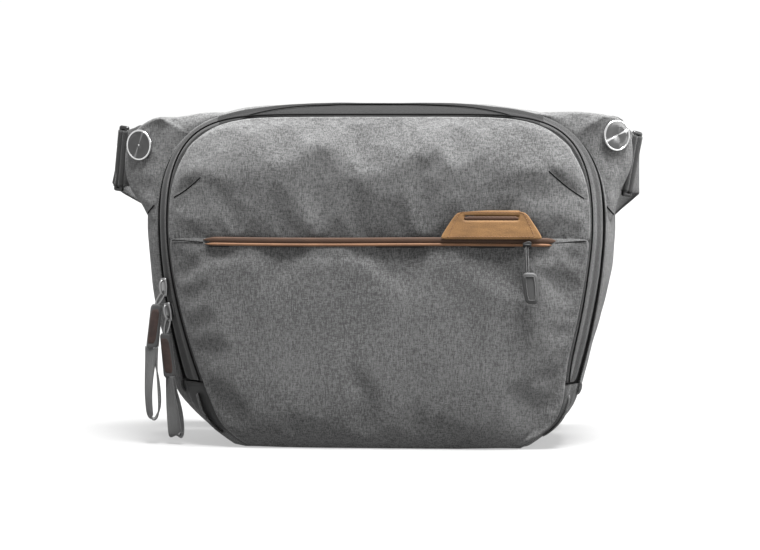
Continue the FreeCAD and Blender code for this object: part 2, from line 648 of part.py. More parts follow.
# ---- inside -------------------------------------------------------------------------------------
def dividers():
    for side, s in SIDES.items():
        x0 = s["sign"] * DIVIDER_X - DIVIDER_T / 2
        x1 = x0 + DIVIDER_T
        y0, y1 = CORE_BACK_Y + 6, 30.0
        save(f"divider_base_{side}", box(x0, x1, y0, y1, 10.4, DIVIDER_HINGE_Z - 1.2, 1.5))
        flap = box(x0, x1, y0, y1, DIVIDER_HINGE_Z + 1.2, DIVIDER_TOP_Z, 1.5)
        save(f"divider_flap_{side}", flap)


rear_shell()
save("back_pads", *[back_pad(s["sign"]) for s in SIDES.values()])
lid()
zip_halves()
pocket_mouth()
pocket_slider()
main_slider("upper", 106.0, 34.0, 36.0, 12.5, 16.0)
main_slider("lower", 89.6, -34.0, 0.0, 15.5, 3.6)
riveted = [anchor(side_name, side_values) for side_name, side_values in SIDES.items()]
save("anchor_studs", *[stud for stud, _ in riveted])
save("anchor_backplates", *[backplate for _, backplate in riveted])
strap()
adjuster()
dividers()
print(len(os.listdir("parts")), "nodes")
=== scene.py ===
"""Looks of the camera sling bag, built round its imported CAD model.

Shapes are worked out in millimetres in the bag's own frame, +X right, +Y back, +Z up, and become
metres when a mesh is made. The outline's formulas are the CAD model's own.
"""

import json
import math

import bmesh
import bpy
import numpy as np
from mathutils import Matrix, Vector, noise
from mathutils.bvhtree import BVHTree


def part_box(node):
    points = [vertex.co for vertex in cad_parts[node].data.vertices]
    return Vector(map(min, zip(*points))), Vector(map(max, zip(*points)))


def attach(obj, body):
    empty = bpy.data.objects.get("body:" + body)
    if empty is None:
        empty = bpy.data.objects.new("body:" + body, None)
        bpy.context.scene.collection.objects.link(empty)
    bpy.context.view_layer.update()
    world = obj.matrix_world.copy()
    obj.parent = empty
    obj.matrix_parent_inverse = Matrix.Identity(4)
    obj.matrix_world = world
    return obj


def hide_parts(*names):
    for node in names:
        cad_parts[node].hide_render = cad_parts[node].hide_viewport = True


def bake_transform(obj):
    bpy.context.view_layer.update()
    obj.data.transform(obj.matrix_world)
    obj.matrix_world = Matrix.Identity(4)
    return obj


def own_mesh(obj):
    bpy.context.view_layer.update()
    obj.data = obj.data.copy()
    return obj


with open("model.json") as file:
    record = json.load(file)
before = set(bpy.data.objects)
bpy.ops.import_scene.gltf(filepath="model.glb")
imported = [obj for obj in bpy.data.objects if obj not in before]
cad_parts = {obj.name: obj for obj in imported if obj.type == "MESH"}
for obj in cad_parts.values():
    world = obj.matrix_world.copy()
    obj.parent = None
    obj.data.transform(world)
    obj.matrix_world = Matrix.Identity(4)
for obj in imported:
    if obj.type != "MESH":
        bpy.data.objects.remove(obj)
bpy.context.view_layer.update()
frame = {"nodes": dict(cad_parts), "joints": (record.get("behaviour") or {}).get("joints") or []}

MM = 0.001


def cad_box(node):
    """Lowest and highest corners of a CAD node, in millimetres."""
    low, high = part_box(node)
    return np.array(low) / MM, np.array(high) / MM


# ---- the shell's outline, as the CAD model has it ------------------------------------------------
FRONT_Y = -48.0
ZIP_Y = -28.0
BACK_Y = float(cad_box("back_panel")[1][1])
DEEPEST_Y = 5.0
HALF_WIDTH = 157.5
HEIGHT = 229.5
HIGHEST_Y = -8.0
WIDE_Z = 147.0
ACROSS_POWER = (4.6, 7.0)       # at the zip and at the front
UP_POWER = 2.5
TAPER = (0.0063, 0.0085)        # likewise
TAPER_POWER = 1.7
CORNER = (12.0, 25.0)
CORNER_Z = (20.0, 42.0)
EDGE_LOSS_W = 18.5
EDGE_REACH = 53.0
FRONT_LOSS_H = 10.5
BACK_LOSS_H = 3.5
FOLD_Y, FOLD_Z = -60.0, 43.0
POCKET_Z = 139.0
FRONT_BULGE = 12.0
POCKET_BULGE = 9.0
WALL = 8.0
SHELL_FRONT_Y = -26.0
BAND_BACK_Y = -30.8


def fullness(y):
    return ((y - DEEPEST_Y) / EDGE_REACH) ** 2


def from_zip_to_front(y, values):
    """A value that changes evenly from the zip's plane to the front panel's edge."""
    share = min(1.0, max(0.0, (ZIP_Y - y) / (ZIP_Y - FRONT_Y)))
    return values[0] + (values[1] - values[0]) * share


def half_width(y, inset=0.0):
    return HALF_WIDTH - EDGE_LOSS_W * fullness(y) - inset


def top_z(y, inset=0.0):
    ahead = max(0.0, (HIGHEST_Y - y) / (HIGHEST_Y - FRONT_Y))
    behind = max(0.0, (y - HIGHEST_Y) / (BACK_Y - HIGHEST_Y))
    return HEIGHT - FRONT_LOSS_H * ahead ** 3 - BACK_LOSS_H * behind ** 2 - inset


def corner_cut(z, y):
    full = max(0.0, 1 - fullness(y))
    cut = CORNER[0] + (CORNER[1] - CORNER[0]) * full
    reach = CORNER_Z[0] + (CORNER_Z[1] - CORNER_Z[0]) * full
    return cut * max(0.0, 1 - z / reach) ** 2


def side_x(z, y, inset=0.0):
    w = half_width(y, inset)
    if z <= WIDE_Z:
        return w - from_zip_to_front(y, TAPER) * (WIDE_Z - z) ** TAPER_POWER - corner_cut(z, y)
    rise = min(1.0, (z - WIDE_Z) / (top_z(y, inset) - WIDE_Z))
    return w * (1 - rise ** UP_POWER) ** (1 / from_zip_to_front(y, ACROSS_POWER))


def outline(t, y, inset=0.0):
    """(x, z) on the right half: t is 0 at the bottom, 0.5 at the widest point and 1 at the top."""
    if t <= 0.5:
        z = t / 0.5 * WIDE_Z
        raised = z + inset * max(0.0, 1 - z / 30)
        return side_x(z, y, inset), raised
    angle = (t - 0.5) * math.pi
    x = half_width(y, inset) * max(0.0, math.cos(angle)) ** (2 / from_zip_to_front(y, ACROSS_POWER))
    return x, WIDE_Z + (top_z(y, inset) - WIDE_Z) * math.sin(angle) ** (2 / UP_POWER)


def t_at_z(z):
    return 0.5 * z / WIDE_Z


def t_at_x(x, y, inset=0.0):
    across = x / half_width(y, inset)
    return 0.5 + math.acos(across ** (from_zip_to_front(y, ACROSS_POWER) / 2)) / math.pi


def even_ts(t0, t1, n, y=ZIP_Y):
    """n outline positions from t0 to t1, evenly spaced along the outline."""
    dense = np.linspace(t0, t1, 400)
    points = np.array([outline(t, y) for t in dense])
    run = np.concatenate([[0], np.cumsum(np.linalg.norm(np.diff(points, axis=0), axis=1))])
    return np.interp(np.linspace(0, run[-1], n), run, dense)


def over_the_top(t_low, n, y=ZIP_Y):
    """Signed outline positions from the left side at t_low over the top to the right side."""
    ts = even_ts(t_low, 1.0, n, y)
    return [(-1, t) for t in ts] + [(1, t) for t in reversed(ts[:-1])]


def eased(a, b, value):
    """0 before a, 1 after b, and smooth between them."""
    share = min(1.0, max(0.0, (value - a) / (b - a)))
    return share * share * (3 - 2 * share)


def front_slump(z):
    """How much further the pocket's right-hand edge stands out than the outline, low down."""
    return 8.5 * math.exp(-((z - 24) / 26) ** 2) + 2.2 * (1 - eased(60, 125, z))


def slump(sign, y, z):
    """How far a soft side has moved along x: the shell leans to the left below the wings, and the
    front's lower right corner is the fuller one."""
    shell = eased(-26.5, -17, y) * (1 - eased(20, 44, y))
    if sign < 0:
        return -4.4 * shell * eased(0, 45, z) * (1 - eased(156, 182, z))
    return front_slump(z) * (1 - eased(-46, -33, y)) - 4.6 * shell * math.exp(-((z - 58) / 36) ** 2)


def skin_point(sign, t, y, inset=0.0):
    x, z = outline(t, y, inset)
    return np.array([sign * x + slump(sign, y, z), y, z])


# ---- mesh making ---------------------------------------------------------------------------------
def add_object(name, data):
    obj = bpy.data.objects.new(name, data)
    bpy.context.scene.collection.objects.link(obj)
    return obj


def make_piece(name, points, faces, materials, indices=None, uv=None):
    """A mesh object from points in millimetres, with its normals facing outwards."""
    mesh = bpy.data.meshes.new(name)
    mesh.from_pydata([tuple(p) for p in np.asarray(points, float) * MM], [], faces)
    for material in materials:
        mesh.materials.append(material)
    if indices is not None:
        mesh.polygons.foreach_set("material_index", indices)
    if uv is not None:
        layer = mesh.uv_layers.new(name="UVMap")
        corners = np.zeros(len(mesh.loops), int)
        mesh.loops.foreach_get("vertex_index", corners)
        layer.data.foreach_set("uv", (np.asarray(uv, float) * MM)[corners].astype(np.float32).ravel())
    bm = bmesh.new()
    bm.from_mesh(mesh)
    bmesh.ops.recalc_face_normals(bm, faces=bm.faces)
    bm.to_mesh(mesh)
    bm.free()
    mesh.polygons.foreach_set("use_smooth", [True] * len(mesh.polygons))
    return add_object(name, mesh)


def refine(obj):
    """Subdivides a piece smoothly, for good."""
    modifier = obj.modifiers.new("Smooth", "SUBSURF")
    modifier.levels = modifier.render_levels = 1
    graph = bpy.context.evaluated_depsgraph_get()
    mesh = bpy.data.meshes.new_from_object(obj.evaluated_get(graph))
    obj.modifiers.clear()
    obj.data = mesh
    return obj


def loft(rings, wrap=False):
    """Points and faces of a closed skin through closed rings of points. wrap joins the last ring
    to the first; otherwise both ends are capped."""
    rings = np.asarray(rings, float)
    n, p, _ = rings.shape
    points = list(rings.reshape(-1, 3))
    faces = []
    for i in range(n if wrap else n - 1):
        a, b = i * p, (i + 1) % n * p
        faces += [(a + j, a + (j + 1) % p, b + (j + 1) % p, b + j) for j in range(p)]
    if not wrap:
        for i in (0, n - 1):
            centre = len(points)
            points.append(rings[i].mean(axis=0))
            faces += [(i * p + (j + 1) % p, i * p + j, centre) for j in range(p)]
    return points, faces


def join_parts(parts):
    """One list of points and faces from several."""
    points, faces = [], []
    for part_points, part_faces in parts:
        start = len(points)
        points += list(part_points)
        faces += [tuple(start + i for i in face) for face in part_faces]
    return points, faces


def panel(front, back, rim=3):
    """A closed pad between two matching grids of points, with a rolled edge."""
    front, back = np.asarray(front, float), np.asarray(back, float)
    rows, cols = front.shape[:2]
    count = rows * cols
    points = list(front.reshape(-1, 3)) + list(back.reshape(-1, 3))
    faces = []
    for i in range(rows - 1):
        for j in range(cols - 1):
            a, b = i * cols + j, (i + 1) * cols + j
            faces.append((a, a + 1, b + 1, b))
            faces.append((count + b, count + b + 1, count + a + 1, count + a))
    loop = [(0, j) for j in range(cols - 1)] + [(i, cols - 1) for i in range(rows - 1)]
    loop += [(rows - 1, j) for j in range(cols - 1, 0, -1)] + [(i, 0) for i in range(rows - 1, 0, -1)]
    rings = [[i * cols + j for i, j in loop]]
    for k in range(1, rim + 1):
        angle = math.pi * k / (rim + 1)
        ring = []
        for i, j in loop:
            inner = front[min(max(i, 1), rows - 2), min(max(j, 1), cols - 2)]
            middle, half = (front[i, j] + back[i, j]) / 2, (front[i, j] - back[i, j]) / 2
            out = front[i, j] - inner
            out -= half * (out @ half) / max(1e-9, half @ half)
            out *= np.linalg.norm(half) / max(1e-9, np.linalg.norm(out))
            ring.append(len(points))
            points.append(middle + half * math.cos(angle) + out * math.sin(angle))
        rings.append(ring)
    rings.append([count + i * cols + j for i, j in loop])
    for a, b in zip(rings, rings[1:]):
        faces += [(a[k - 1], b[k - 1], b[k], a[k]) for k in range(len(loop))]
    return points, faces


def spaced(points, n):
    """n points evenly spaced along a run of points."""
    points = np.asarray(points, float)
    run = np.concatenate([[0], np.cumsum(np.linalg.norm(np.diff(points, axis=0), axis=1))])
    at = np.linspace(0, run[-1], n)
    return np.stack([np.interp(at, run, points[:, k]) for k in range(points.shape[1])], axis=1)


def patch(bottom, top, left, right):
    """A grid of points between four edges: bottom and top run left to right, the others upwards."""
    u = np.linspace(0, 1, len(bottom))[None, :, None]
    v = np.linspace(0, 1, len(left))[:, None, None]
    bottom, top, left, right = (np.asarray(e, float) for e in (bottom, top, left, right))
    across = (1 - v) * bottom[None] + v * top[None]
    upwards = (1 - u) * left[:, None] + u * right[:, None]
    corners = ((1 - u) * (1 - v) * bottom[0] + u * (1 - v) * bottom[-1]
               + (1 - u) * v * top[0] + u * v * top[-1])
    return across + upwards - corners


def smooth_path(points, steps=8):
    """A smooth run of points through the given ones."""
    points = np.asarray(points, float)
    padded = np.vstack([2 * points[0] - points[1], points, 2 * points[-1] - points[-2]])
    run = []
    for i in range(len(points) - 1):
        a, b, c, d = padded[i:i + 4]
        for s in np.linspace(0, 1, steps, endpoint=False):
            run.append(0.5 * (2 * b + (c - a) * s + (2 * a - 5 * b + 4 * c - d) * s ** 2
                              + (3 * b - a - 3 * c + d) * s ** 3))
    run.append(points[-1])
    return np.array(run)


def bent(value, power):
    """A cosine or sine raised to a power with its sign kept: below 1 squares a circle off."""
    return math.copysign(abs(value) ** power, value)


def circle(n):
    """n points (cosine, sine) round a circle."""
    return [(math.cos(a), math.sin(a)) for a in np.linspace(0, 2 * math.pi, n, endpoint=False)]


def run_length(path):
    return np.linalg.norm(np.diff(path, axis=0), axis=1).sum()


def at_depth(grid, y):
    """A copy of a grid of points, moved to one depth."""
    moved = grid.copy()
    moved[:, :, 1] = y
    return moved


def unit(v):
    return np.asarray(v, float) / max(1e-9, np.linalg.norm(v))


def directions(path, wrap=False):
    if wrap:
        ahead = np.roll(path, -1, axis=0) - np.roll(path, 1, axis=0)
    else:
        ahead = np.gradient(path, axis=0)
    return ahead / np.maximum(1e-9, np.linalg.norm(ahead, axis=1))[:, None]


def tube(path, radius, sides=8, wrap=False, flat=1.0):
    """A round tube along a path of points; flat squeezes it along its second direction."""
    path = np.asarray(path, float)
    ahead = directions(path, wrap)
    side = unit(np.cross(ahead[0], (0.3, 0.2, 1.0)))
    rings = []
    for p, d in zip(path, ahead):
        side = unit(side - d * (side @ d))
        up = np.cross(d, side)
        rings.append([p + radius * (side * c + up * flat * s) for c, s in circle(sides)])
    return loft(rings, wrap)


def strip_profile(width, thick, n=7):
    """A flat strip's section as (across, up) points with rounded edges."""
    half, r = width / 2 - thick / 2, thick / 2
    top = [(x, r) for x in np.linspace(half, -half, n)]
    left = [(-half - r * math.sin(a), r * math.cos(a)) for a in (math.pi / 3, math.pi * 2 / 3)]
    low = [(x, -r) for x in np.linspace(-half, half, n)]
    right = [(half + r * math.sin(a), r * math.cos(a)) for a in (math.pi * 2 / 3, math.pi / 3)]
    return top + left + low + right


def ribbon(path, widths, width, thick, n=7):
    """A flat strap along a path; widths are its width directions. Gives points, faces and uv."""
    path = np.asarray(path, float)
    ahead = directions(path)
    run = np.concatenate([[0], np.cumsum(np.linalg.norm(np.diff(path, axis=0), axis=1))])
    profile = strip_profile(width, thick, n)
    rings, uv = [], []
    for p, d, w, s in zip(path, ahead, widths, run):
        w = unit(np.asarray(w) - d * (np.asarray(w) @ d))
        up = np.cross(d, w)
        rings.append([p + w * a + up * b for a, b in profile])
        uv += [(s, a) for a, _ in profile]
    uv += [(0, 0), (run[-1], 0)]
    points, faces = loft(rings)
    return points, faces, uv


def lathe(profile, centre, axis, sides=64):
    """A closed turned part: profile is (radius, height) points round an axis, from axis to axis."""
    axis = unit(axis)
    side = unit(np.cross(axis, (0, 0, 1)))
    up = np.cross(axis, side)
    rings, uv = [], []
    for r, h in profile:
        rings.append([centre + axis * h + r * (side * c + up * s) for c, s in circle(sides)])
        uv += [(r * c, r * s) for c, s in circle(sides)]
    points, faces = loft(rings)
    return points, faces, uv + [(0, 0), (0, 0)]


def copies(template, frames):
    """A template mesh repeated at frames of (origin, x, y, z axes)."""
    points, faces = np.asarray(template[0], float), template[1]
    return join_parts([(origin + points @ np.array([x, y, z]), faces) for origin, x, y, z in frames])


def thread(length, radius):
    """One stitch of sewing thread, lying along x."""
    rings = []
    for x, r in ((-0.5, 0.3), (-0.36, 0.85), (0.0, 1.0), (0.36, 0.85), (0.5, 0.3)):
        rings.append([(x * length, r * radius * c, r * radius * s) for c, s in circle(6)])
    return loft(rings)


def block(hx, hy, hz, power=6, n=6):
    """A rounded block of half sizes hx, hy, hz about the origin."""
    grid = np.linspace(-1, 1, n)
    points, faces = [], []
    index = {}
    for axis in range(3):
        for sign in (-1, 1):
            ids = []
            for a in grid:
                for b in grid:
                    q = np.insert(np.array([a, b]), axis, sign)
                    key = tuple(np.round(q, 5))
                    if key not in index:
                        index[key] = len(points)
                        scale = 1 / (np.abs(q) ** power).sum() ** (1 / power)
                        points.append(q * scale * np.array([hx, hy, hz]))
                    ids.append(index[key])
            for i in range(n - 1):
                for j in range(n - 1):
                    a = i * n + j
                    faces.append((ids[a], ids[a + 1], ids[a + n + 1], ids[a + n]))
    return points, faces


def ripple(p, size, seed=0.0):
    """Smooth noise from about -1 to 1 at a place, over lumps of a size in millimetres."""
    return noise.noise(Vector((p[0] / size + seed, p[1] / size, p[2] / size)))


def tree_of(obj):
    """Finds points on a piece's surface."""
    mesh = obj.data
    return BVHTree.FromPolygons([v.co for v in mesh.vertices], [p.vertices[:] for p in mesh.polygons])


def drop_on(tree, point, direction, start=40.0):
    """Where a line through the point along direction first meets the surface, and its normal."""
    d = unit(direction)
    hit, normal, _, _ = tree.ray_cast(Vector((np.asarray(point) - d * start) * MM), Vector(d))
    if hit is None:
        return None
    normal = np.array(normal)
    return np.array(hit) / MM, -normal if normal @ d > 0 else normal


CLOTH_QUALITY, CLOTH_MASS, CLOTH_STIFFNESS, CLOTH_BENDING, CLOTH_FRAMES = 7, 0.25, 14.0, 4.0, 20


def settle(grid, spare, pressure, limit):
    """Lets a sheet with a held border settle as padded cloth: spare is its extra width, and no
    point moves more than limit. Returns the sheet's new grid of points."""
    rows, cols = grid.shape[:2]
    faces = []
    for i in range(rows - 1):
        for j in range(cols - 1):
            a = i * cols + j
            faces.append((a, a + 1, a + cols + 1, a + cols))
    mesh = bpy.data.meshes.new("settling")
    mesh.from_pydata([tuple(p) for p in grid.reshape(-1, 3) * MM], [], faces)
    sheet = add_object("settling", mesh)
    held = sheet.vertex_groups.new(name="held")
    border = [i * cols + j for i in range(rows) for j in range(cols)
              if i in (0, rows - 1) or j in (0, cols - 1)]
    held.add(border, 1.0, "REPLACE")
    cloth = sheet.modifiers.new("Cloth", "CLOTH")
    settings = cloth.settings
    settings.quality = CLOTH_QUALITY
    settings.mass = CLOTH_MASS
    settings.tension_stiffness = settings.compression_stiffness = CLOTH_STIFFNESS
    settings.shear_stiffness = CLOTH_STIFFNESS / 2
    settings.bending_stiffness = CLOTH_BENDING
    settings.vertex_group_mass = "held"
    settings.shrink_min = -spare
    settings.use_pressure = pressure > 0
    settings.uniform_pressure_force = pressure
    settings.effector_weights.gravity = 0.0
    cloth.collision_settings.use_collision = False
    cloth.point_cache.frame_end = CLOTH_FRAMES
    scene = bpy.context.scene
    for f in range(1, CLOTH_FRAMES + 1):
        scene.frame_set(f)
    graph = bpy.context.evaluated_depsgraph_get()
    settled = sheet.evaluated_get(graph).to_mesh()
    co = np.zeros(len(settled.vertices) * 3)
    settled.vertices.foreach_get("co", co)
    moved = co.reshape(rows, cols, 3) / MM
    scene.frame_set(1)
    bpy.data.objects.remove(sheet)
    shift = moved - grid
    size = np.linalg.norm(shift, axis=2, keepdims=True)
    return grid + shift * np.minimum(1.0, limit / np.maximum(size, 1e-9))


# ---- materials -----------------------------------------------------------------------------------
class Shader:
    """A node material with one Principled shader."""

    def __init__(self, name, rough, metallic=0.0, sheen=0.0, gloss=0.5):
        self.material = bpy.data.materials.new(name)
        self.material.use_nodes = True
        self.tree = self.material.node_tree
        self.bsdf = self.tree.nodes["Principled BSDF"]
        self.bsdf.inputs["Roughness"].default_value = rough
        self.bsdf.inputs["Metallic"].default_value = metallic
        self.bsdf.inputs["Sheen Weight"].default_value = sheen
        self.bsdf.inputs["Specular IOR Level"].default_value = gloss

    def node(self, kind, **values):
        """Adds a node. Names that are its inputs are set or linked, others are its properties."""
        made = self.tree.nodes.new(kind)
        for key, value in values.items():
            name = key.replace("_", " ")
            if name in made.inputs:
                self.put(value, made.inputs[name])
            else:
                setattr(made, key, value)
        return made

    def put(self, value, socket):
        if isinstance(value, bpy.types.NodeSocket):
            self.tree.links.new(value, socket)
        else:
            socket.default_value = value

    def place(self, per_mm, use="Object"):
        """Texture coordinates that run at the given number of cells per millimetre."""
        coordinates = self.node("ShaderNodeTexCoord")
        scale = [n / MM for n in per_mm]
        mapping = self.node("ShaderNodeMapping", Vector=coordinates.outputs[use], Scale=scale)
        return mapping.outputs["Vector"]

    def noise(self, per_mm, detail=3.0, rough=0.6, use="Object"):
        return self.node("ShaderNodeTexNoise", Vector=self.place(per_mm, use), Scale=1.0,
                         Detail=detail, Roughness=rough).outputs["Fac"]

    def wave(self, per_mm, direction, use="Object"):
        made = self.node("ShaderNodeTexWave", Vector=self.place((per_mm,) * 3, use),
                         Scale=1 / (2 * math.pi) * 2)
        made.bands_direction = direction
        return made.outputs["Fac"]

    def ramp(self, factor, *stops):
        """Colours along a factor: stops are (position, colour)."""
        made = self.node("ShaderNodeValToRGB", Fac=factor)
        band = made.color_ramp
        band.elements[0].position, band.elements[0].color = stops[0][0], (*stops[0][1], 1)
        band.elements[1].position, band.elements[1].color = stops[-1][0], (*stops[-1][1], 1)
        for position, colour in stops[1:-1]:
            band.elements.new(position).color = (*colour, 1)
        return made.outputs["Color"]

    def mix(self, factor, a, b):
        made = self.node("ShaderNodeMix")
        made.data_type = "RGBA"
        self.put(factor, made.inputs["Factor"])
        for value, socket in ((a, made.inputs[6]), (b, made.inputs[7])):
            self.put((*value, 1) if isinstance(value, tuple) else value, socket)
        return made.outputs[2]

    def sum(self, a, b, how="ADD"):
        made = self.node("ShaderNodeMath")
        made.operation = how
        self.put(a, made.inputs[0])
        self.put(b, made.inputs[1])
        return made.outputs[0]

    def times(self, a, share):
        return self.sum(a, share, "MULTIPLY")

    def colour(self, value):
        self.put((*value, 1) if isinstance(value, tuple) else value, self.bsdf.inputs["Base Color"])

    def bump(self, height, strength, distance):
        made = self.node("ShaderNodeBump", Height=height, Strength=strength, Distance=distance * MM)
        self.put(made.outputs["Normal"], self.bsdf.inputs["Normal"])


def grey(value):
    """A linear grey from an 8-bit screen value."""
    c = value / 255
    linear = c / 12.92 if c <= 0.04045 else ((c + 0.055) / 1.055) ** 2.4
    return (linear, linear, linear)


def tint(r, g, b):
    return (grey(r)[0], grey(g)[0], grey(b)[0])


def woven(name, dark, light, streak, weave=1.0, contrast=(0.36, 0.66)):
    """Cloth whose yarns vary from dark to light: streak is the yarn flecks' length upwards in mm."""
    s = Shader(name, 0.9, 0.0, 0.1)
    upright = s.noise((1.4, 1.4, 1 / streak), 3.0, 0.7)
    level = s.noise((1 / streak, 1 / streak, 1.4), 3.0, 0.7)
    yarn = s.sum(s.times(upright, 0.58), s.times(level, 0.42))
    fleck = s.noise((2.6, 2.6, 2.0), 2.0, 0.6)
    cloud = s.noise((0.016, 0.016, 0.012), 2.0, 0.5)
    blend = s.sum(s.sum(yarn, s.times(fleck, 0.35)), s.times(cloud, 0.14))
    factor = s.sum(blend, 0.245, "SUBTRACT")
    s.colour(s.ramp(factor, (contrast[0], dark), (contrast[1], light)))
    warp = s.wave(2 * math.pi / weave, "X")
    weft = s.wave(2 * math.pi / weave, "Z")
    depthwise = s.wave(2 * math.pi / weave, "Y")
    threads = s.sum(s.sum(warp, weft), depthwise)
    crinkle = s.noise((0.09, 0.09, 0.06), 3.0, 0.55)
    s.bump(s.sum(s.times(threads, 0.18), s.sum(s.times(yarn, 0.5), crinkle)), 0.55, 0.5)
    s.bsdf.inputs["Sheen Roughness"].default_value = 0.5
    return s.material


def smooth_cloth(name, colour, accent, weave=0.8, sheen=0.15):
    """Plain, tightly woven cloth with a soft crinkle."""
    s = Shader(name, 0.8, 0.0, sheen, 0.25)
    grain = s.noise((1.2, 1.2, 1.2), 3.0, 0.6)
    patchy = s.noise((0.03, 0.03, 0.03), 3.0, 0.6)
    blend = s.sum(s.times(grain, 0.6), s.times(patchy, 0.4))
    s.colour(s.ramp(blend, (0.3, colour), (0.7, accent)))
    threads = s.sum(s.wave(2 * math.pi / weave, "DIAGONAL"), s.noise((0.12, 0.12, 0.12), 3.0, 0.6))
    s.bump(threads, 0.4, 0.35)
    return s.material


def ribbed(name, colour, accent, rib=1.6):
    """Webbing: ribs across its width and a fine weave, from the strap's own lengthwise uv."""
    s = Shader(name, 0.75, 0.0, 0.2)
    along = s.wave(2 * math.pi / rib, "X", "UV")
    across = s.wave(2 * math.pi / (rib * 0.8), "Y", "UV")
    fibre = s.noise((0.5, 2.4, 1.0), 3.0, 0.6, "UV")
    blend = s.sum(s.times(along, 0.35), s.times(fibre, 0.65))
    s.colour(s.ramp(blend, (0.25, colour), (0.8, accent)))
    s.bump(s.sum(s.sum(along, across), s.times(fibre, 0.6)), 0.7, 0.4)
    return s.material


def spacer_mesh(name, colour, hole):
    """Open spacer mesh: rows of small holes through a soft knit."""
    s = Shader(name, 0.85, 0.0, 0.3)
    cells = s.node("ShaderNodeTexVoronoi", Vector=s.place((0.42, 0.42, 0.42)), Scale=1.0, Randomness=0.25)
    s.colour(s.ramp(cells.outputs["Distance"], (0.18, hole), (0.36, colour)))
    s.bump(s.sum(cells.outputs["Distance"], s.noise((1.5, 1.5, 1.5))), 0.9, 0.8)
    return s.material


def leather(name, colour, dark, light):
    """Grained leather with lighter, worn edges."""
    s = Shader(name, 0.7, 0.0, 0.05, 0.22)
    grain = s.node("ShaderNodeTexVoronoi", Vector=s.place((1.3, 1.3, 1.3)), Scale=1.0).outputs["Distance"]
    fine = s.noise((2.2, 2.2, 2.2), 4.0, 0.65)
    patchy = s.noise((0.07, 0.07, 0.2), 3.0, 0.6)
    blend = s.sum(s.times(fine, 0.5), s.times(patchy, 0.5))
    base = s.ramp(blend, (0.34, dark), (0.5, colour), (0.68, light))
    edges = s.node("ShaderNodeNewGeometry").outputs["Pointiness"]
    worn = s.ramp(edges, (0.5, (0, 0, 0)), (0.58, (1, 1, 1)))
    s.colour(s.mix(s.times(worn, 0.6), base, light))
    s.bump(s.sum(s.times(grain, 0.5), fine), 0.45, 0.3)
    return s.material


def metal(name, colour, rough, scratch=0.08):
    """Metal with fine scratches and slightly uneven gloss."""
    s = Shader(name, rough, 1.0)
    marks = s.noise((0.9, 0.9, 6.0), 3.0, 0.6)
    s.colour(s.ramp(marks, (0.3, tuple(c * 0.85 for c in colour)), (0.7, colour)))
    uneven = s.sum(s.sum(marks, scratch * 2, "MULTIPLY"), rough - scratch)
    s.put(uneven, s.bsdf.inputs["Roughness"])
    s.bump(marks, 0.08, 0.1)
    return s.material


def brushed_disc_painted_highlight(name, colour, streak, angle):
    """Turned metal: fine grooves round the disc's centre, and a painted highlight of two opposite bright
    streaks where the grooves would gather the light; angle is the streaks' slant in degrees, from the disc's
    flat uv."""
    s = Shader(name, 0.34, 1.0)
    place = s.place((1, 1, 1), "UV")
    length = s.node("ShaderNodeVectorMath", Vector=place)
    length.operation = "LENGTH"
    grooves = s.node("ShaderNodeTexNoise", Vector=s.node(
        "ShaderNodeCombineXYZ", X=s.times(length.outputs["Value"], 5.0)).outputs["Vector"],
        Scale=1.0, Detail=3.0, Roughness=0.7)
    base = s.ramp(grooves.outputs["Fac"], (0.3, tuple(c * 0.6 for c in colour)), (0.7, colour))
    slant = math.radians(angle)
    across = s.node("ShaderNodeVectorMath", Vector=place)
    across.operation = "DOT_PRODUCT"
    across.inputs[1].default_value = (math.sin(slant), -math.cos(slant), 0)
    off = s.sum(s.sum(across.outputs["Value"], 0.0, "ABSOLUTE"), s.sum(length.outputs["Value"], 0.01),
                "DIVIDE")
    # Painted highlight: the streak colour is mixed into the colour along the slant, whatever the lamps do.
    s.colour(s.mix(s.ramp(off, (0.0, (1, 1, 1)), (0.16, (0, 0, 0))), base, streak))
    s.bsdf.inputs["Anisotropic"].default_value = 0.85
    s.bump(grooves.outputs["Fac"], 0.35, 0.12)
    return s.material


def moulded(name, colour, rough, gloss=0.5):
    """Moulded nylon with a faint texture."""
    s = Shader(name, rough, gloss=gloss)
    grain = s.noise((1.6, 1.6, 1.6), 3.0, 0.6)
    s.colour(s.ramp(grain, (0.3, tuple(c * 0.8 for c in colour)), (0.7, colour)))
    s.bump(grain, 0.2, 0.15)
    return s.material


HEATHER = woven("heather_fabric", grey(39), grey(92), 3.4, contrast=(0.40, 0.62))
# Painted shade: a darker copy of the same heather, for the pocket face and the lower front.
HEATHER_SHADED = woven("heather_fabric_shaded", grey(31), grey(79), 3.4, contrast=(0.41, 0.61))
SMOOTH = smooth_cloth("smooth_fabric", grey(25), grey(33))
LINING = woven("lining", grey(80), grey(110), 2.0, 0.9)
WEBBING = ribbed("webbing", grey(20), grey(38))
RIBBON = ribbed("ribbon", grey(30), grey(50), 1.0)
MESH = spacer_mesh("mesh_padding", grey(54), grey(18))
COIL = moulded("zip_coil", grey(22), 0.6, 0.2)
TAPE = smooth_cloth("zip_tape", grey(15), grey(23), 0.6, sheen=0.0)
SLIDER_METAL = metal("slider_metal", grey(140), 0.42)
BUCKLE_METAL = metal("buckle_metal", grey(64), 0.38)
# The streaks on both faces are painted highlights; the right face's lighter base and brighter streak are
# painted light from the right.
ANCHOR_FACES = {
    "left": brushed_disc_painted_highlight("anchor_face_left_painted_highlight", grey(92), grey(128), 68),
    "right": brushed_disc_painted_highlight("anchor_face_right_painted_highlight", grey(108), grey(235), 24),
}
ANCHOR_RIM = metal("anchor_rim", grey(215), 0.16, 0.04)
TAN = leather("leather_trim", tint(84, 58, 40), tint(68, 46, 30), tint(100, 72, 50))
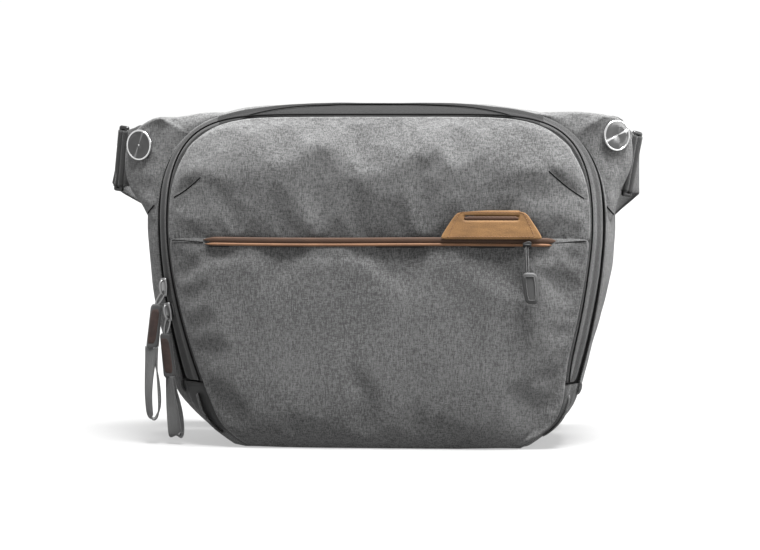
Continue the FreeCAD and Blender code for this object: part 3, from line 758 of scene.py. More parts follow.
# A darker copy of the trim leather: partly the upper lip's own darker leather, partly painted shade under the
# front panel's overhang.
TAN_DARK_SHADED = leather("leather_groove_shaded", tint(48, 31, 20), tint(38, 24, 16), tint(60, 40, 26))
LABEL = leather("label", tint(92, 66, 37), tint(76, 54, 30), tint(110, 81, 48))
LEATHER_PULL = leather("leather_pull", tint(38, 27, 24), tint(25, 19, 17), tint(54, 40, 36))
STIFF = moulded("stiffener", grey(44), 0.5)
# Painted shadow: dark tubes of this are laid in creases, darts and seams where shade falls.
SEAM_SHADOW = moulded("seam_shadow", grey(22), 0.95, 0.0)
BAND_TOP = smooth_cloth("band_top_fabric", grey(14), grey(22), sheen=0.0)
THREAD = moulded("thread", grey(80), 0.7)
MOULDED_TAB = moulded("pull_tab_face", grey(44), 0.7)
WEBBING_PLAIN = smooth_cloth("webbing_plain", grey(18), grey(30), 0.9)


def dress(obj, body, slot, *nodes):
    """Puts a finished piece on its body and hides the CAD nodes it stands for; slot is not used."""
    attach(obj, body)
    if nodes:
        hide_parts(*nodes)


def recolour(node, material):
    """Gives a CAD node that stays in view its own material."""
    materials = frame["nodes"][node].data.materials
    materials.clear()
    materials.append(material)


def cross_fold(obj, slot, *nodes):
    """Bakes a finished piece's placement into its mesh and hides the CAD nodes it stands for."""
    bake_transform(obj)
    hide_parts(*nodes)


def column_top(x, y, inset=0.0):
    """Height of the outline's upper edge at x."""
    across = min(1.0, abs(x) / half_width(y, inset)) ** from_zip_to_front(y, ACROSS_POWER)
    return WIDE_Z + (top_z(y, inset) - WIDE_Z) * (1 - across) ** (1 / UP_POWER)


def outline_patch(y, inset, z_low, cols, rows, corner=0.75):
    """A grid of (x, z) that fills the outline above z_low; corner is where side turns into top."""
    right = [outline(t, y, inset) for t in even_ts(t_at_z(z_low), corner, rows, y)]
    high = [outline(t, y, inset) for t in even_ts(corner, 1.0, (cols + 1) // 2, y)]
    top = [(-x, z) for x, z in high] + [(x, z) for x, z in reversed(high[:-1])]
    left = [(-x, z) for x, z in right]
    bottom = np.linspace(left[0], right[0], cols)
    return patch(bottom, top, left, right)


def lifted(grid, depth):
    """An (x, z) grid as points, with depth(x, z) as their y."""
    return np.array([[(x, depth(x, z), z) for x, z in row] for row in grid])


def edge_of(points):
    """The border of a grid of points, as a closed run."""
    points = np.asarray(points)
    return np.vstack([points[0, :-1], points[:-1, -1], points[-1, :0:-1], points[:0:-1, 0]])


def seam(name, path, body, material, radius, slot, wrap=False):
    obj = make_piece(name, *tube(path, radius, 8, wrap), [material])
    dress(obj, body, slot)


def stitching(name, path, surface, direction, body, wrap=False, pitch=3.3, length=2.3, radius=0.26,
              material=THREAD):
    """A row of stitches along a path, laid on a surface piece."""
    tree = tree_of(surface)
    run = np.vstack([path, path[:1]]) if wrap else np.asarray(path)
    total = run_length(run)
    points = spaced(run, max(3, int(total / pitch)))
    ahead = directions(points)
    frames = []
    for p, d in zip(points, ahead):
        found = drop_on(tree, p, direction)
        if found is None:
            continue
        place, normal = found
        along = unit(d - normal * (d @ normal))
        frames.append((place + normal * radius * 0.5, along, np.cross(normal, along), normal))
    obj = make_piece(name, *copies(thread(length, radius), frames), [material])
    dress(obj, body, "lining")


# ---- rear shell ----------------------------------------------------------------------------------
def station_points(stations, profile, swell=0.0):
    """Rings of points: each station is a place round the outline, each profile entry (y, inset).
    swell adds soft unevenness to the outer face."""
    rings = []
    for kind, sign, t in stations:
        ring = []
        for y, inset, outer in profile:
            if kind == "base":
                p = np.array([t * side_x(0, y, inset) + slump(1, y, 0) * max(0.0, t) ** 3, y,
                              max(0.0, inset)])
            else:
                p = skin_point(sign, t, y, inset)
                if outer and swell:
                    room = min(1.0, max(0.0, p[2] - 6) / 20)
                    push = swell * room * (ripple(p, 38, 3.1) + 0.5 * ripple(p, 15, 8.7))
                    p = skin_point(sign, t, y, inset - push)
            ring.append(p)
        rings.append(ring)
    return rings


def round_stations(n_side, n_base):
    ts = even_ts(0.0, 1.0, n_side, DEEPEST_Y)
    base = [("base", 1, b) for b in np.linspace(-1, 1, n_base)[1:-1]]
    right = [("side", 1, t) for t in ts]
    left = [("side", -1, t) for t in reversed(ts[:-1])]
    return base + right + left


def shell_ring():
    """The padded wall all round: heather outside, lining inside."""
    outer = [(SHELL_FRONT_Y - 0.2, 3.0), (SHELL_FRONT_Y - 0.3, 1.6), (SHELL_FRONT_Y + 0.5, 0.5), (-23.5, 0.0),
             (-19, -0.3), (-14, -0.4), (-8, -0.4), (-2, -0.4), (4, -0.4), (10, -0.4), (16, -0.4), (22, -0.4),
             (28, -0.4), (34, -0.2), (39, 0.1), (43, 0.6), (46.4, 1.8), (48.8, 4.0), (49.4, 6.2)]
    inner = [(48.0, 8.4), (44, 8.2), (36, 8.0), (24, 8.0), (12, 8.0), (0, 8.0), (-12, 8.0), (-22, 7.8),
             (SHELL_FRONT_Y + 0.6, 6.8), (SHELL_FRONT_Y - 0.2, 5.0)]
    profile = [(y, max(0.0, i), True) for y, i in outer] + [(y, i, False) for y, i in inner]
    rings = station_points(round_stations(72, 26), profile, 1.1)
    points, faces = loft(rings, wrap=True)
    inner_from = len(outer)
    indices = [1 if inner_from <= f[0] % len(profile) < len(profile) - 1 else 0 for f in faces]
    obj = make_piece("shell_wall", points, faces, [HEATHER, LINING], indices)
    dress(obj, "bag_body", "heather_fabric", "side_wall_left", "side_wall_right", "top_wall", "base_panel",
          "base_stiffener")


def front_foot():
    """The lower front wall: up both sides to the fold, and under the front of the base."""
    ts = even_ts(0.0, t_at_z(FOLD_Z - 0.8), 12, FRONT_Y)
    stations = [("side", -1, t) for t in reversed(ts)]
    stations += [("base", 1, b) for b in np.linspace(-1, 1, 26)[1:-1]]
    stations += [("side", 1, t) for t in ts]
    outer = [(-47.2, 2.6), (-47.2, 1.4), (-46.4, 0.4), (-43, 0.0), (-38.5, 0.0), (-34, 0.0), (-30, 0.0),
             (-27.4, 0.2), (-26.5, 1.4)]
    inner = [(-26.5, 5.4), (-28, 7.2), (-34, 7.6), (-42, 7.6), (-46.4, 6.8), (-47.2, 5.0)]
    profile = [(y, i, True) for y, i in outer] + [(y, i, False) for y, i in inner]
    points, faces = loft(station_points(stations, profile, 0.5))
    indices = []
    for f in faces:
        place = f[0] % len(profile)
        if len(f) == 4 and len(outer) <= place < len(profile) - 1:
            indices.append(1)
        else:
            indices.append(2 if profile[place][0] < -32 and abs(points[f[0]][0]) > 60 else 0)
    # The darker heather here is painted shade on the lower front.
    obj = make_piece("front_foot", points, faces, [HEATHER_SHADED, LINING, SMOOTH], indices)
    dress(obj, "bag_body", "heather_fabric", "lower_side_left", "lower_side_right")


def back_panel():
    """The smooth back, with piping round its edge."""
    grid = outline_patch(46, 3.4, 4.0, 61, 45)

    def depth(x, z):
        across = min(1.0, abs(x) / (side_x(z, 46, 3.4) + 1e-6))
        up = min(1.0, abs(z - 112) / 114)
        crown = 1.6 * (1 - across ** 4) * (1 - up ** 4)
        return 49.4 + max(0.0, crown) + 0.35 * ripple((x, 0, z), 30, 5.0)
    front = lifted(grid, depth)
    back = at_depth(front, 43.6)
    obj = refine(make_piece("back_panel_fabric", *panel(front, back, 4), [SMOOTH]))
    dress(obj, "bag_body", "smooth_fabric", "back_panel")
    path = edge_of(lifted(outline_patch(46, 2.2, 4.0, 61, 45), lambda x, z: 49.2))
    seam("back_piping", path, "bag_body", SMOOTH, 1.6, "smooth_fabric", wrap=True)
    path = edge_of(lifted(outline_patch(46, 8.0, 9.0, 61, 45), lambda x, z: 56.0))
    stitching("back_stitches", path, obj, (0, -1, 0), "bag_body", wrap=True)


def squircle(u, v, power=7.0):
    """Moves a point of the square -1..1 inside a square with rounded corners."""
    m = max(abs(u), abs(v))
    if m < 1e-9:
        return u, v
    k = m / (abs(u) ** power + abs(v) ** power) ** (1 / power)
    return u * k, v * k


def back_pads():
    """Two spacer-mesh pads on the back, each sewn through into channels."""
    low, high = cad_box("back_pads")
    inner = 9.0
    wide, tall = (high[0] - inner) / 2, (high[2] - low[2]) / 2
    for side, sign in (("left", -1), ("right", 1)):
        rows = []
        for v in np.linspace(-1, 1, 47):
            row = []
            for u in np.linspace(-1, 1, 33):
                a, b = squircle(u, v)
                swell = max(0.0, (1 - abs(a) ** 3.0) * (1 - abs(b) ** 5.0)) ** 0.55
                channel = abs((b * 2.0 + 0.5) % 1.0 - 0.5) * 2
                pinch = 1 - 0.62 * math.exp(-((1 - channel) / 0.13) ** 2)
                x = sign * (inner + wide + wide * a)
                z = low[2] + tall + tall * b
                y = BACK_Y + 1.4 + 6.2 * swell * pinch + 0.25 * ripple((x, 0, z), 12, 2.0)
                row.append((x, y, z))
            rows.append(row)
        front = np.array(rows)
        back = at_depth(front, BACK_Y - 0.6)
        obj = refine(make_piece(f"back_pad_{side}", *panel(front, back, 3), [MESH]))
        dress(obj, "bag_body", "mesh_padding", *(["back_pads"] if side == "left" else []))
        path = edge_of(front + np.array([0, 0.6, 0]))
        seam(f"back_pad_binding_{side}", path, "bag_body", SMOOTH, 1.3, "smooth_fabric", wrap=True)


# ---- lid -----------------------------------------------------------------------------------------
DARTS = (                # each from the panel's edge to its tip, as (x, z)
    ((-136.6, 166.5), (-116.5, 181.0)),
    ((136.8, 166.0), (112.0, 185.5)),
)


def dart_shape(x, z):
    """How far the darts push the panel out (negative) or in at a point."""
    push = 0.0
    for (x0, z0), (x1, z1) in DARTS:
        length = math.hypot(x1 - x0, z1 - z0)
        ax, az = (x1 - x0) / length, (z1 - z0) / length
        along = ((x - x0) * ax + (z - z0) * az) / length
        off = (x - x0) * -az + (z - z0) * ax
        off = -off if x0 > 0 else off
        gate = 1 / (1 + math.exp((along - 1.0) * 14)) / (1 + math.exp(-(along + 0.3) * 14))
        push += gate * (2.0 * math.exp(-(off / 2.4) ** 2) - 2.4 * math.exp(-((off - 8) / 8.5) ** 2))
        tip = math.hypot(x - x1, z - z1)
        push -= 1.5 * math.exp(-((tip - 4) / 9) ** 2) * (1 if z > z1 - 3 else 0.4)
        hollow = ((x - (x1 - ax * -14)) / 26) ** 2 + ((z - (z1 - 16)) / 13) ** 2
        push += 1.8 * math.exp(-hollow)
    return push


def upper_depth(x, z):
    """Depth of the upper front panel: full along its foot, rolled over at the top."""
    w = half_width(FRONT_Y) - 1
    top = max(column_top(x, FRONT_Y, 1), POCKET_Z + 6)
    v = min(1.0, max(0.0, (z - POCKET_Z) / (top - POCKET_Z)))
    across = min(1.0, abs(x) / w)
    shape = 0.45 * (1 - v ** 3) + 0.55 * (4 * v * (1 - v)) ** 0.5
    y = FRONT_Y - 2.0 - FRONT_BULGE * max(0.0, 1 - across ** 4) ** 0.75 * shape
    inside = max(0.0, 1 - across ** 8) * min(1.0, 4 * v * (1 - v) + 0.25)
    band = 1.6 * math.exp(-((z - 168) / 13) ** 2)
    return y + inside * (band + dart_shape(x, z) + 0.5 * ripple((x, 0, z), 26, 1.3))


def upper_panel():
    grid = outline_patch(FRONT_Y, 0.8, POCKET_Z + 0.5, 97, 33)
    front = settle(lifted(grid, upper_depth), 0.012, 1.2, 3.0)
    back = at_depth(front, FRONT_Y + 2.4)
    obj = refine(make_piece("upper_panel_fabric", *panel(front, back, 5), [HEATHER]))
    dress(obj, "front_lid", "heather_fabric", "upper_front_panel")
    tree = tree_of(obj)
    for side, ((x0, z0), (x1, z1)) in zip(("left", "right"), DARTS):
        path = []
        for s in np.linspace(0.03, 0.96, 14):
            sag = 1.2 * math.sin(s * math.pi)
            found = drop_on(tree, (x0 + (x1 - x0) * s, -100, z0 + (z1 - z0) * s - sag), (0, 1, 0), 60)
            if found:
                path.append(found[0])
        # The dart is a real seam; its dark tube is painted shade in its fold.
        seam(f"dart_seam_{side}", path, "front_lid", SEAM_SHADOW, 0.42, "smooth_fabric")


def front_y(x, z):
    """Depth of the pocket's crowned face."""
    across = min(1.0, abs(x) / max(1.0, side_x(min(z, WIDE_Z), FRONT_Y)))
    up = min(1.0, abs(z - 108) / 112)
    return FRONT_Y - 1.4 - POCKET_BULGE * (1 - across ** 4) ** 0.75 * (1 - up ** 4) ** 0.75


def pocket_depth(x, z):
    edge = min(1.0, 1 - abs(x) / side_x(z, FRONT_Y))
    inside = min(1.0, edge * 9) * min(1.0, max(0.0, z) / 14)
    folds = 0.9 * ripple((x, 0, z * 0.45), 24, 7.7) + 0.6 * ripple((x, 0, z), 46, 2.2)
    mouth = 1.6 * math.exp(-((z - 128.5) / 3.0) ** 2) if abs(x) < 118 else 0.0
    tuck = 3.0 * max(0.0, 1 - z / 9) ** 2
    return front_y(x, z) - 0.6 + inside * folds + mouth * 0.6 + tuck


def pocket_face():
    """The pocket's outer face, from the base up to the pocket's mouth, in one piece across the fold."""
    rows = []
    for z in np.linspace(0.9, POCKET_Z - 0.6, 43):
        wide = side_x(z, FRONT_Y) - 0.8
        rows.append([(wide * math.sin(math.pi / 2 * u) * 0.25 + wide * u * 0.75
                      + front_slump(z) * max(0.0, u) ** 3, z) for u in np.linspace(-1, 1, 85)])
    front = settle(lifted(rows, pocket_depth), 0.014, 1.0, 3.0)
    front[:, :, 2] = np.maximum(front[:, :, 2], 0.9)
    back = front.copy()
    back[:, :, 1] = np.minimum(front[:, :, 1] + 4.0, FRONT_Y + 1.2)
    back[:, :, 1] = np.maximum(back[:, :, 1], front[:, :, 1] + 1.6)
    # The darker heather here is painted shade on the pocket face.
    obj = refine(make_piece("pocket_face_fabric", *panel(front, back, 4), [HEATHER_SHADED]))
    low = min(v.co.z for v in obj.data.vertices)
    if low < 0:
        for v in obj.data.vertices:
            v.co.z = max(v.co.z, 0.0)
    cross_fold(obj, "heather_fabric", "pocket_face_lower", "pocket_face_upper")


def lid_lining():
    """The padded inner face of the front, with quilted channels, across the fold."""
    grid = outline_patch(FRONT_Y, WALL + 2, WALL + 1.4, 61, 49)

    def depth(x, z):
        edge = min(1.0, max(0.0, 1 - abs(x) / (side_x(z, FRONT_Y, WALL + 2) + 1e-6)) * 12)
        channel = abs((z / 26) % 1.0 - 0.5) * 2
        return -41.4 + 1.2 * edge * (1 - math.exp(-((1 - channel) / 0.12) ** 2))
    inner = lifted(grid, depth)
    outer = at_depth(inner, FRONT_Y + 1.4)
    obj = refine(make_piece("lid_lining", *panel(inner, outer, 4), [LINING]))
    cross_fold(obj, "lining", "lid_core", "lower_front_wall")


def band_front(x):
    """Where the smooth band's front edge runs: level at the sides, set back over the top."""
    reach = 92.0
    if abs(x) >= reach:
        return FRONT_Y + 1.2
    return FRONT_Y + 1.2 + 12.4 * (1 - (abs(x) / reach) ** 2) ** 0.8


def top_rise(x):
    """How much the band stands above the outline over the middle of the top."""
    return 2.0 * (1 - eased(45, 112, abs(x)))


def lid_band():
    """The smooth band between the front panel and the zip, with a raised flap over the zip."""
    outer = [(0.0, 3.2), (0.0, 1.8), (0.05, 0.9), (0.14, 0.5), (0.26, 0.35), (0.4, 0.3), (0.52, 0.75),
             (0.6, 1.0),
             (0.66, 0.4), (0.74, -0.4), (0.84, -0.7), (0.92, -0.3), (0.98, 0.7), (1.0, 1.8)]
    inner = [(0.98, 3.0), (0.8, 3.8), (0.5, 4.0), (0.2, 4.0)]
    rings = []
    for sign, t in over_the_top(t_at_z(FOLD_Z + 0.8), 76):
        x = sign * outline(t, FRONT_Y)[0]
        y0 = band_front(x)
        ring = []
        for share, inset in outer + inner:
            y = y0 + (BAND_BACK_Y - y0) * share
            p = skin_point(sign, t, y)
            wander = 0.5 * ripple(p, 14, 4.4) + 0.35 * ripple(p, 40, 9.1) if 0.02 < share < 0.98 else 0.0
            squeeze = min(1.0, (BAND_BACK_Y - y0) / 9)
            p = skin_point(sign, t, y, inset * (squeeze if inset < 2 else 1) - wander * 0.6)
            ring.append(p + np.array([0, 0, top_rise(x)]))
        rings.append(ring)
    points, faces = loft(rings)
    indices = [1 if np.mean([abs(points[k][0]) for k in face]) < 108 else 0 for face in faces]
    obj = refine(make_piece("lid_band", points, faces, [SMOOTH, BAND_TOP], indices))
    dress(obj, "front_lid", "smooth_fabric", "lid_band_left", "lid_band_right", "lid_band_top")


def crease_shadows():
    """Painted shadow: dark tubes where shade falls beside the front panel's edge and under the band's edge
    over the top, and along the pocket's seams, which are real seams shaded by the panel above.
    """
    run = [skin_point(sign, t, FRONT_Y + 1.8, -1.5) for sign,
           t in over_the_top(t_at_z(FOLD_Z + 1.5), 90, FRONT_Y)]
    seam("panel_crease_shadow", run, "front_lid", SEAM_SHADOW, 0.6, "smooth_fabric")
    run = []
    for x in np.linspace(-88, 88, 60):
        y = band_front(x) + 0.2
        run.append((x, y, column_top(x, y) + top_rise(x) + 0.3))
    seam("band_crease_shadow", run, "front_lid", SEAM_SHADOW, 0.4, "smooth_fabric")
    # The pocket seams are real seams, drawn dark as painted shade under the upper panel's overhang.
    for side, sign, x1 in (("left", -1, 116.0), ("right", 1, 117.0)):
        run = []
        for x in np.linspace(side_x(POCKET_Z, FRONT_Y) - 1.0, x1, 12):
            z = POCKET_Z - 0.7 - 1.2 * eased(136, 112, x)
            run.append((sign * x, front_y(x, z) - 1.1, z))
        seam(f"pocket_seam_{side}", run, "front_lid", SEAM_SHADOW, 0.32, "smooth_fabric")


def lid_top_strip():
    """The dark strip on top, between the front panel and the band."""
    reach = 90.0
    rows_front, rows_back = [], []
    for share in np.linspace(0, 1, 7):
        front_row, back_row = [], []
        for x in np.linspace(-reach, reach, 61):
            y = FRONT_Y + 0.6 + (band_front(x) + 0.9 - FRONT_Y - 0.6) * share
            swell = 0.7 * math.sin(math.pi * share)
            front_z = column_top(x, y) + top_rise(x) * share + swell - 0.6 + 0.2 * ripple((x, y, 0), 12)
            front_row.append((x, y, front_z))
            back_row.append((x, y, column_top(x, y) - 3.4))
        rows_front.append(front_row)
        rows_back.append(back_row)
    obj = make_piece("lid_top_strip", *panel(rows_front, rows_back, 3), [BAND_TOP])
    dress(obj, "front_lid", "smooth_fabric")


def organizer():
    """The lid's inner pocket: a stretch panel with a bound edge and three sewn compartments."""
    low, high = cad_box("lid_organizer")
    rows = []
    for v in np.linspace(0, 1, 25):
        z = low[2] + (high[2] - low[2]) * v
        wide = min(high[0] - 2, side_x(z, FRONT_Y, 20))
        row = []
        for u in np.linspace(-1, 1, 49):
            cell = abs(((u + 1) * 1.5) % 1.0 - 0.5) * 2
            swell = (1 - math.exp(-((1 - cell) / 0.12) ** 2)) * (0.4 + 0.6 * v) * min(1.0, (1 - abs(u)) * 12)
            row.append((wide * u, -39.2 + 1.9 * swell, z))
        rows.append(row)
    inner = np.array(rows)
    outer = inner.copy()
    outer[:, :, 1] -= 1.2
    obj = refine(make_piece("lid_organizer_panel", *panel(inner, outer, 3), [SMOOTH]))
    dress(obj, "front_lid", "lining", "lid_organizer")
    seam("organizer_binding", inner[-1] + np.array([0, -0.4, 0.6]), "front_lid", WEBBING, 1.4, "webbing")


# ---- zips ----------------------------------------------------------------------------------------
def main_zip():
    """The main zip's two halves: a tape and a row of coil teeth each."""
    pitch = 1.7
    for name, body, y_tape, y_edge, shift in (
            ("front", "front_lid", -33.4, ZIP_Y - 0.9, 0.0), ("rear", "bag_body", -23.0, ZIP_Y + 0.9, 0.5)):
        stations = over_the_top(t_at_z(FOLD_Z + 0.9), 90)
        rings = []
        for sign, t in stations:
            ring = [skin_point(sign, t, y_tape + (y_edge - y_tape) * k,
                               0.9 + 2.2 * (1 - k)) for k in (0, 0.5, 1)]
            ring += [skin_point(sign, t, y_tape + (y_edge - y_tape) * k,
                                1.8 + 2.2 * (1 - k)) for k in (1, 0.5, 0)]
            rings.append(ring)
        tape = loft(rings)
        line = np.array([skin_point(sign, t, ZIP_Y, 0.2) for sign, t in stations])
        total = run_length(line)
        points = spaced(line, int(total / pitch))
        ahead = directions(points)
        frames = []
        for p, d in zip(points, ahead):
            level = np.array([0.0, 1.0 if name == "rear" else -1.0, 0.0])
            out = np.cross(d, level)
            frames.append((p + d * pitch * shift + level * 1.0, level, unit(out), d))
        teeth = copies(block(1.35, 0.62, 0.5, 3.0, 4), frames)
        points, faces = join_parts([tape, teeth])
        indices = [0 if i < len(tape[1]) else 1 for i in range(len(faces))]
        obj = make_piece(f"main_zip_{name}", points, faces, [TAPE, COIL], indices)
        dress(obj, body, "zip_coil", f"main_zip_{name}_half")


def pocket_zip():
    """The pocket's small coil, behind the leather lips."""
    low, high = cad_box("pocket_zip_chain")
    z = (low[2] + high[2]) / 2
    line = np.array([(x, front_y(x, z) - 1.0, z) for x in np.linspace(low[0], high[0], 60)])
    rings = []
    for p in line:
        rings.append([p + np.array([0, dy, dz]) for dy,
                      dz in ((0, -2.6), (-0.6, 0), (0, 2.6), (0.9, 2.6), (0.9, -2.6))])
    tape = loft(rings)
    points = spaced(line, int((high[0] - low[0]) / 1.5))
    ahead = directions(points)
    frames = [(p + np.array([0, -0.9, 0]), np.array([0, 0, 1.0]), unit(np.cross(d, (0, 0, 1.0))), d)
              for p, d in zip(points, ahead)]
    teeth = copies(block(1.3, 0.5, 0.42, 3.0, 4), frames)
    all_points, faces = join_parts([tape, teeth])
    indices = [0 if i < len(tape[1]) else 1 for i in range(len(faces))]
    obj = make_piece("pocket_zip_coil", all_points, faces, [TAPE, COIL], indices)
    dress(obj, "front_lid", "zip_coil", "pocket_zip_chain")


def lip(name, x0, x1, centre_z, half_z, stand, half_y, taper, material, *nodes):
    """A leather lip along the pocket's mouth, with tapered ends; taper is (left, right) lengths."""
    rings = []
    for x in np.linspace(x0, x1, 80):
        ends = min(1.0, (x - x0) / taper[0] + 0.05, (x1 - x) / taper[1] + 0.05)
        size = math.sin(min(1.0, ends) * math.pi / 2)
        y = front_y(x, centre_z) - stand * (0.35 + 0.65 * size)
        centre = np.array([x, y, centre_z + 0.25 * math.sin(x / 31)])
        ring = []
        for c, s in circle(14):
            ring.append(centre + np.array([0, half_y * size * bent(c, 0.6),
                                           half_z * size * bent(s, 0.6)]))
        rings.append(ring)
    obj = make_piece(name, *loft(rings), [material])
    dress(obj, "front_lid", "leather_trim", *nodes)


def pocket_lips():
    low, high = cad_box("trim_lower_lip")
    foot = low[2] + 0.6
    lip("trim_lip_lower", low[0] - 1, high[0], foot, 0.95, 2.4, 1.2, (7, 5), TAN, "trim_lower_lip")
    low, high = cad_box("trim_upper_lip")
    # The upper lip's darker leather is partly painted shade under the panel's overhang.
    lip("trim_lip_upper", low[0], high[0], foot + 2.8, 2.0, 1.6, 1.4, (10, 6), TAN_DARK_SHADED, "trim_upper_lip")


LABEL_FOOT_Y = -63.4


def label_depth(x, z):
    """The label leans from the lip back on to the panel and follows its curve."""
    low, high = cad_box("label_patch")
    lean = (z - low[2]) / (high[2] - low[2])
    return LABEL_FOOT_Y + 2.2 * lean + 0.0011 * (x - 60) ** 2 * 0.35


def label():
    """The leather label: a wedge-shaped patch with a slot near its top edge."""
    low, high = cad_box("label_patch")
    z0, z1 = low[2], high[2]
    mid = (low[0] + high[0]) / 2

    def half_at(z):
        share = max(0.0, (z - z0) / (z1 - z0))
        half = (high[0] - low[0]) / 2 - 11.0 * share ** 1.15
        corner = max(0.0, (z - (z1 - 3.0)) / 3.0)
        return half - 3.0 * (1 - math.sqrt(max(0.0, 1 - corner ** 2)))
    slot_z = (z1 - 6.2, z1 - 2.6)
    slot_half = 18.5
    rows = []
    zs = sorted(set(np.round(np.concatenate([np.linspace(z0, slot_z[0], 12), np.linspace(*slot_z, 5),
                                             np.linspace(slot_z[1], z1, 6)]), 4)))
    for z in zs:
        half = half_at(z)
        us = np.concatenate([np.linspace(-half, -slot_half, 8), np.linspace(-slot_half, slot_half, 33)[1:-1],
                             np.linspace(slot_half, half, 8)])
        rows.append([(mid + u, label_depth(mid + u, z), z) for u in us])
    front = np.array(rows)
    for i, z in enumerate(zs):
        for j in range(front.shape[1]):
            off = abs(front[i, j, 0] - mid)
            if slot_z[0] < z < slot_z[1] and off < slot_half:
                front[i, j, 1] += 1.1
    back = front.copy()
    back[:, :, 1] = front[:, :, 1] + 1.7
    obj = refine(make_piece("label_leather", *panel(front, back, 3), [LABEL]))
    dress(obj, "front_lid", "label", "label_patch")
    inset = edge_of(front[1:-1, 2:-2])
    stitching("label_stitches", inset, obj, (0, 1, 0), "front_lid", wrap=True, pitch=2.0, length=1.4,
              radius=0.2,
              material=TAN)
    rings = []
    slot_mid = (slot_z[0] + slot_z[1]) / 2
    for u in np.linspace(-slot_half + 0.6, slot_half - 0.6, 40):
        wob = 0.3 * math.sin(u * 2.1)
        size = math.sin(math.pi * min(1.0, (slot_half - abs(u)) / 4 + 0.05) / 2)
        rings.append([(mid + u, label_depth(mid + u, slot_mid) + 0.55 + 0.45 * math.cos(a),
                       slot_mid + wob * 0.5 + 1.35 * size * math.sin(a))
                      for a in np.linspace(0, 2 * math.pi, 10, endpoint=False)])
    obj = make_piece("label_slot_cord", *loft(rings), [TAN_DARK_SHADED])
    dress(obj, "front_lid", "label")


# ---- sliders and pulls ---------------------------------------------------------------------------
SLIDER_TURN = -40.0       # turn of the main sliders about their travel; below 0 faces forwards


def joint_axis(name):
    return unit(next(j for j in frame["joints"] if j["name"] == name)["axis"])


def in_axes(part, origin, x, y, z):
    points, faces = part
    return [origin + np.asarray(p) @ np.array([x, y, z]) for p in points], faces


def arch(half, height, radius, sides=10):
    """A pull bridge: a rod bent over, along z, standing out along y."""
    path = [(0, height * math.sin(a) ** 0.55, -half * math.cos(a)) for a in np.linspace(0.02,
                                                                                        math.pi - 0.02, 15)]
    return tube(path, radius, sides, flat=0.75)


def slider_parts(wide, tall, deep):
    """A zip slider about the origin: two plates, a diamond between them and a bridge."""
    def plate(y, t, scale):
        rings = []
        for k in np.linspace(-1, 1, 9):
            waist = 0.78 + 0.22 * math.cos((k - 0.35) * 2.1)
            w = wide / 2 * scale * waist * (1 - 0.45 * max(0.0, abs(k) - 0.75))
            ring = []
            for c, s in circle(16):
                ring.append((w * bent(c, 0.5), y + t / 2 * bent(s, 0.6),
                             tall / 2 * k))
            rings.append(ring)
        return loft(rings)
    core = [(np.asarray(p) + np.array([0, deep * 0.45, tall * 0.18])) for p in block(wide * 0.2, deep * 0.4,
                                                                                     tall * 0.26)[0]]
    parts = [plate(deep - 0.6, 1.3, 1.0), plate(0.4, 0.9, 0.94), (core, block(1, 1, 1)[1])]
    points, faces = arch(tall * 0.36, deep * 0.85, 0.95)
    parts.append((np.asarray(points) + np.array([0, deep - 0.3, 0]), faces))
    return join_parts(parts)


def main_slider(name, body):
    """A main zip slider with its bridge, in the frame of its travel."""
    low, high = cad_box(f"{name}_slider")
    middle = (low + high) / 2
    travel = joint_axis(f"{name}_slider_travel")
    up = travel if travel[2] > 0 else -travel
    turn = math.radians(SLIDER_TURN)
    out = unit(np.cross(up, (math.sin(turn), math.cos(turn), 0)))
    level = np.cross(out, up)
    origin = middle - out * 3.0 + np.array([4.6, -6.6, 0.2])
    part = in_axes(slider_parts(8.0, 12.6, 3.4), origin, level, out, up)
    obj = make_piece(f"{name}_slider_metal", *part, [SLIDER_METAL])
    dress(obj, body, "slider_metal", f"{name}_slider")
    return origin + out * 3.0 - up * 2.5


PULL_SHIFT = {"upper": np.array([5.4, -5.0, 0.6]),
              "lower": np.array([2.0, -5.6, 2.2])}     # from the CAD's tabs
PULL_LEAN = {"upper": 0.12, "lower": -0.12}        # how far each tab leans to the left, going down
TAB_TWIST = math.radians(68)         # how far the hanging tabs face forwards
TAB_FLAT = np.array([-math.cos(TAB_TWIST), -math.sin(TAB_TWIST), 0])
TAB_SIDE = np.array([TAB_FLAT[1], -TAB_FLAT[0], 0])


def pull_tab(name, body):
    """A main pull's tab: dark leather bound in grey ribbon, tapered towards its foot."""
    low, high = cad_box(f"{name}_pull_tab")
    middle = (low + high) / 2 + PULL_SHIFT[name]
    tall = high[2] - low[2]
    lean = PULL_LEAN[name] * tall / 2
    flat, side = TAB_FLAT, TAB_SIDE
    up = np.array([0.0, 0.0, 1.0])
    rings = []
    for k in np.linspace(-1, 1, 22):
        half = 4.7 * (1 - 0.12 * (k + 1) / 2) * min(1.0, (1.06 - abs(k)) * 6) ** 0.4
        ring = []
        for c, s in circle(20):
            ring.append(middle + side * (half * bent(c, 0.6) - lean * k)
                        + flat * 1.9 * bent(s, 0.75) + up * tall / 2 * k)
        rings.append(ring)
    obj = make_piece(f"{name}_tab_binding", *loft(rings), [RIBBON])
    dress(obj, body, "ribbon", f"{name}_pull_tab")
    faces_parts = []
    for face in (-1, 1):
        rows = []
        for v in np.linspace(-1, 1, 15):
            row = []
            for u in np.linspace(-1, 1, 9):
                a, b = squircle(u, v, 5)
                swell = (1 - a ** 4) * (1 - b ** 4)
                row.append(middle + side * (2.9 * a - lean * b) + up * (tall / 2 - 3.4) * b
                           + flat * face * (1.9 + 0.35 * swell))
            rows.append(row)
        front = np.array(rows)
        faces_parts.append(panel(front, front - flat * face * 0.9, 2))
    obj = make_piece(f"{name}_tab_leather", *join_parts(faces_parts), [LEATHER_PULL])
    dress(obj, body, "leather_pull")
    return middle - side * lean + up * (tall / 2 - 0.6)


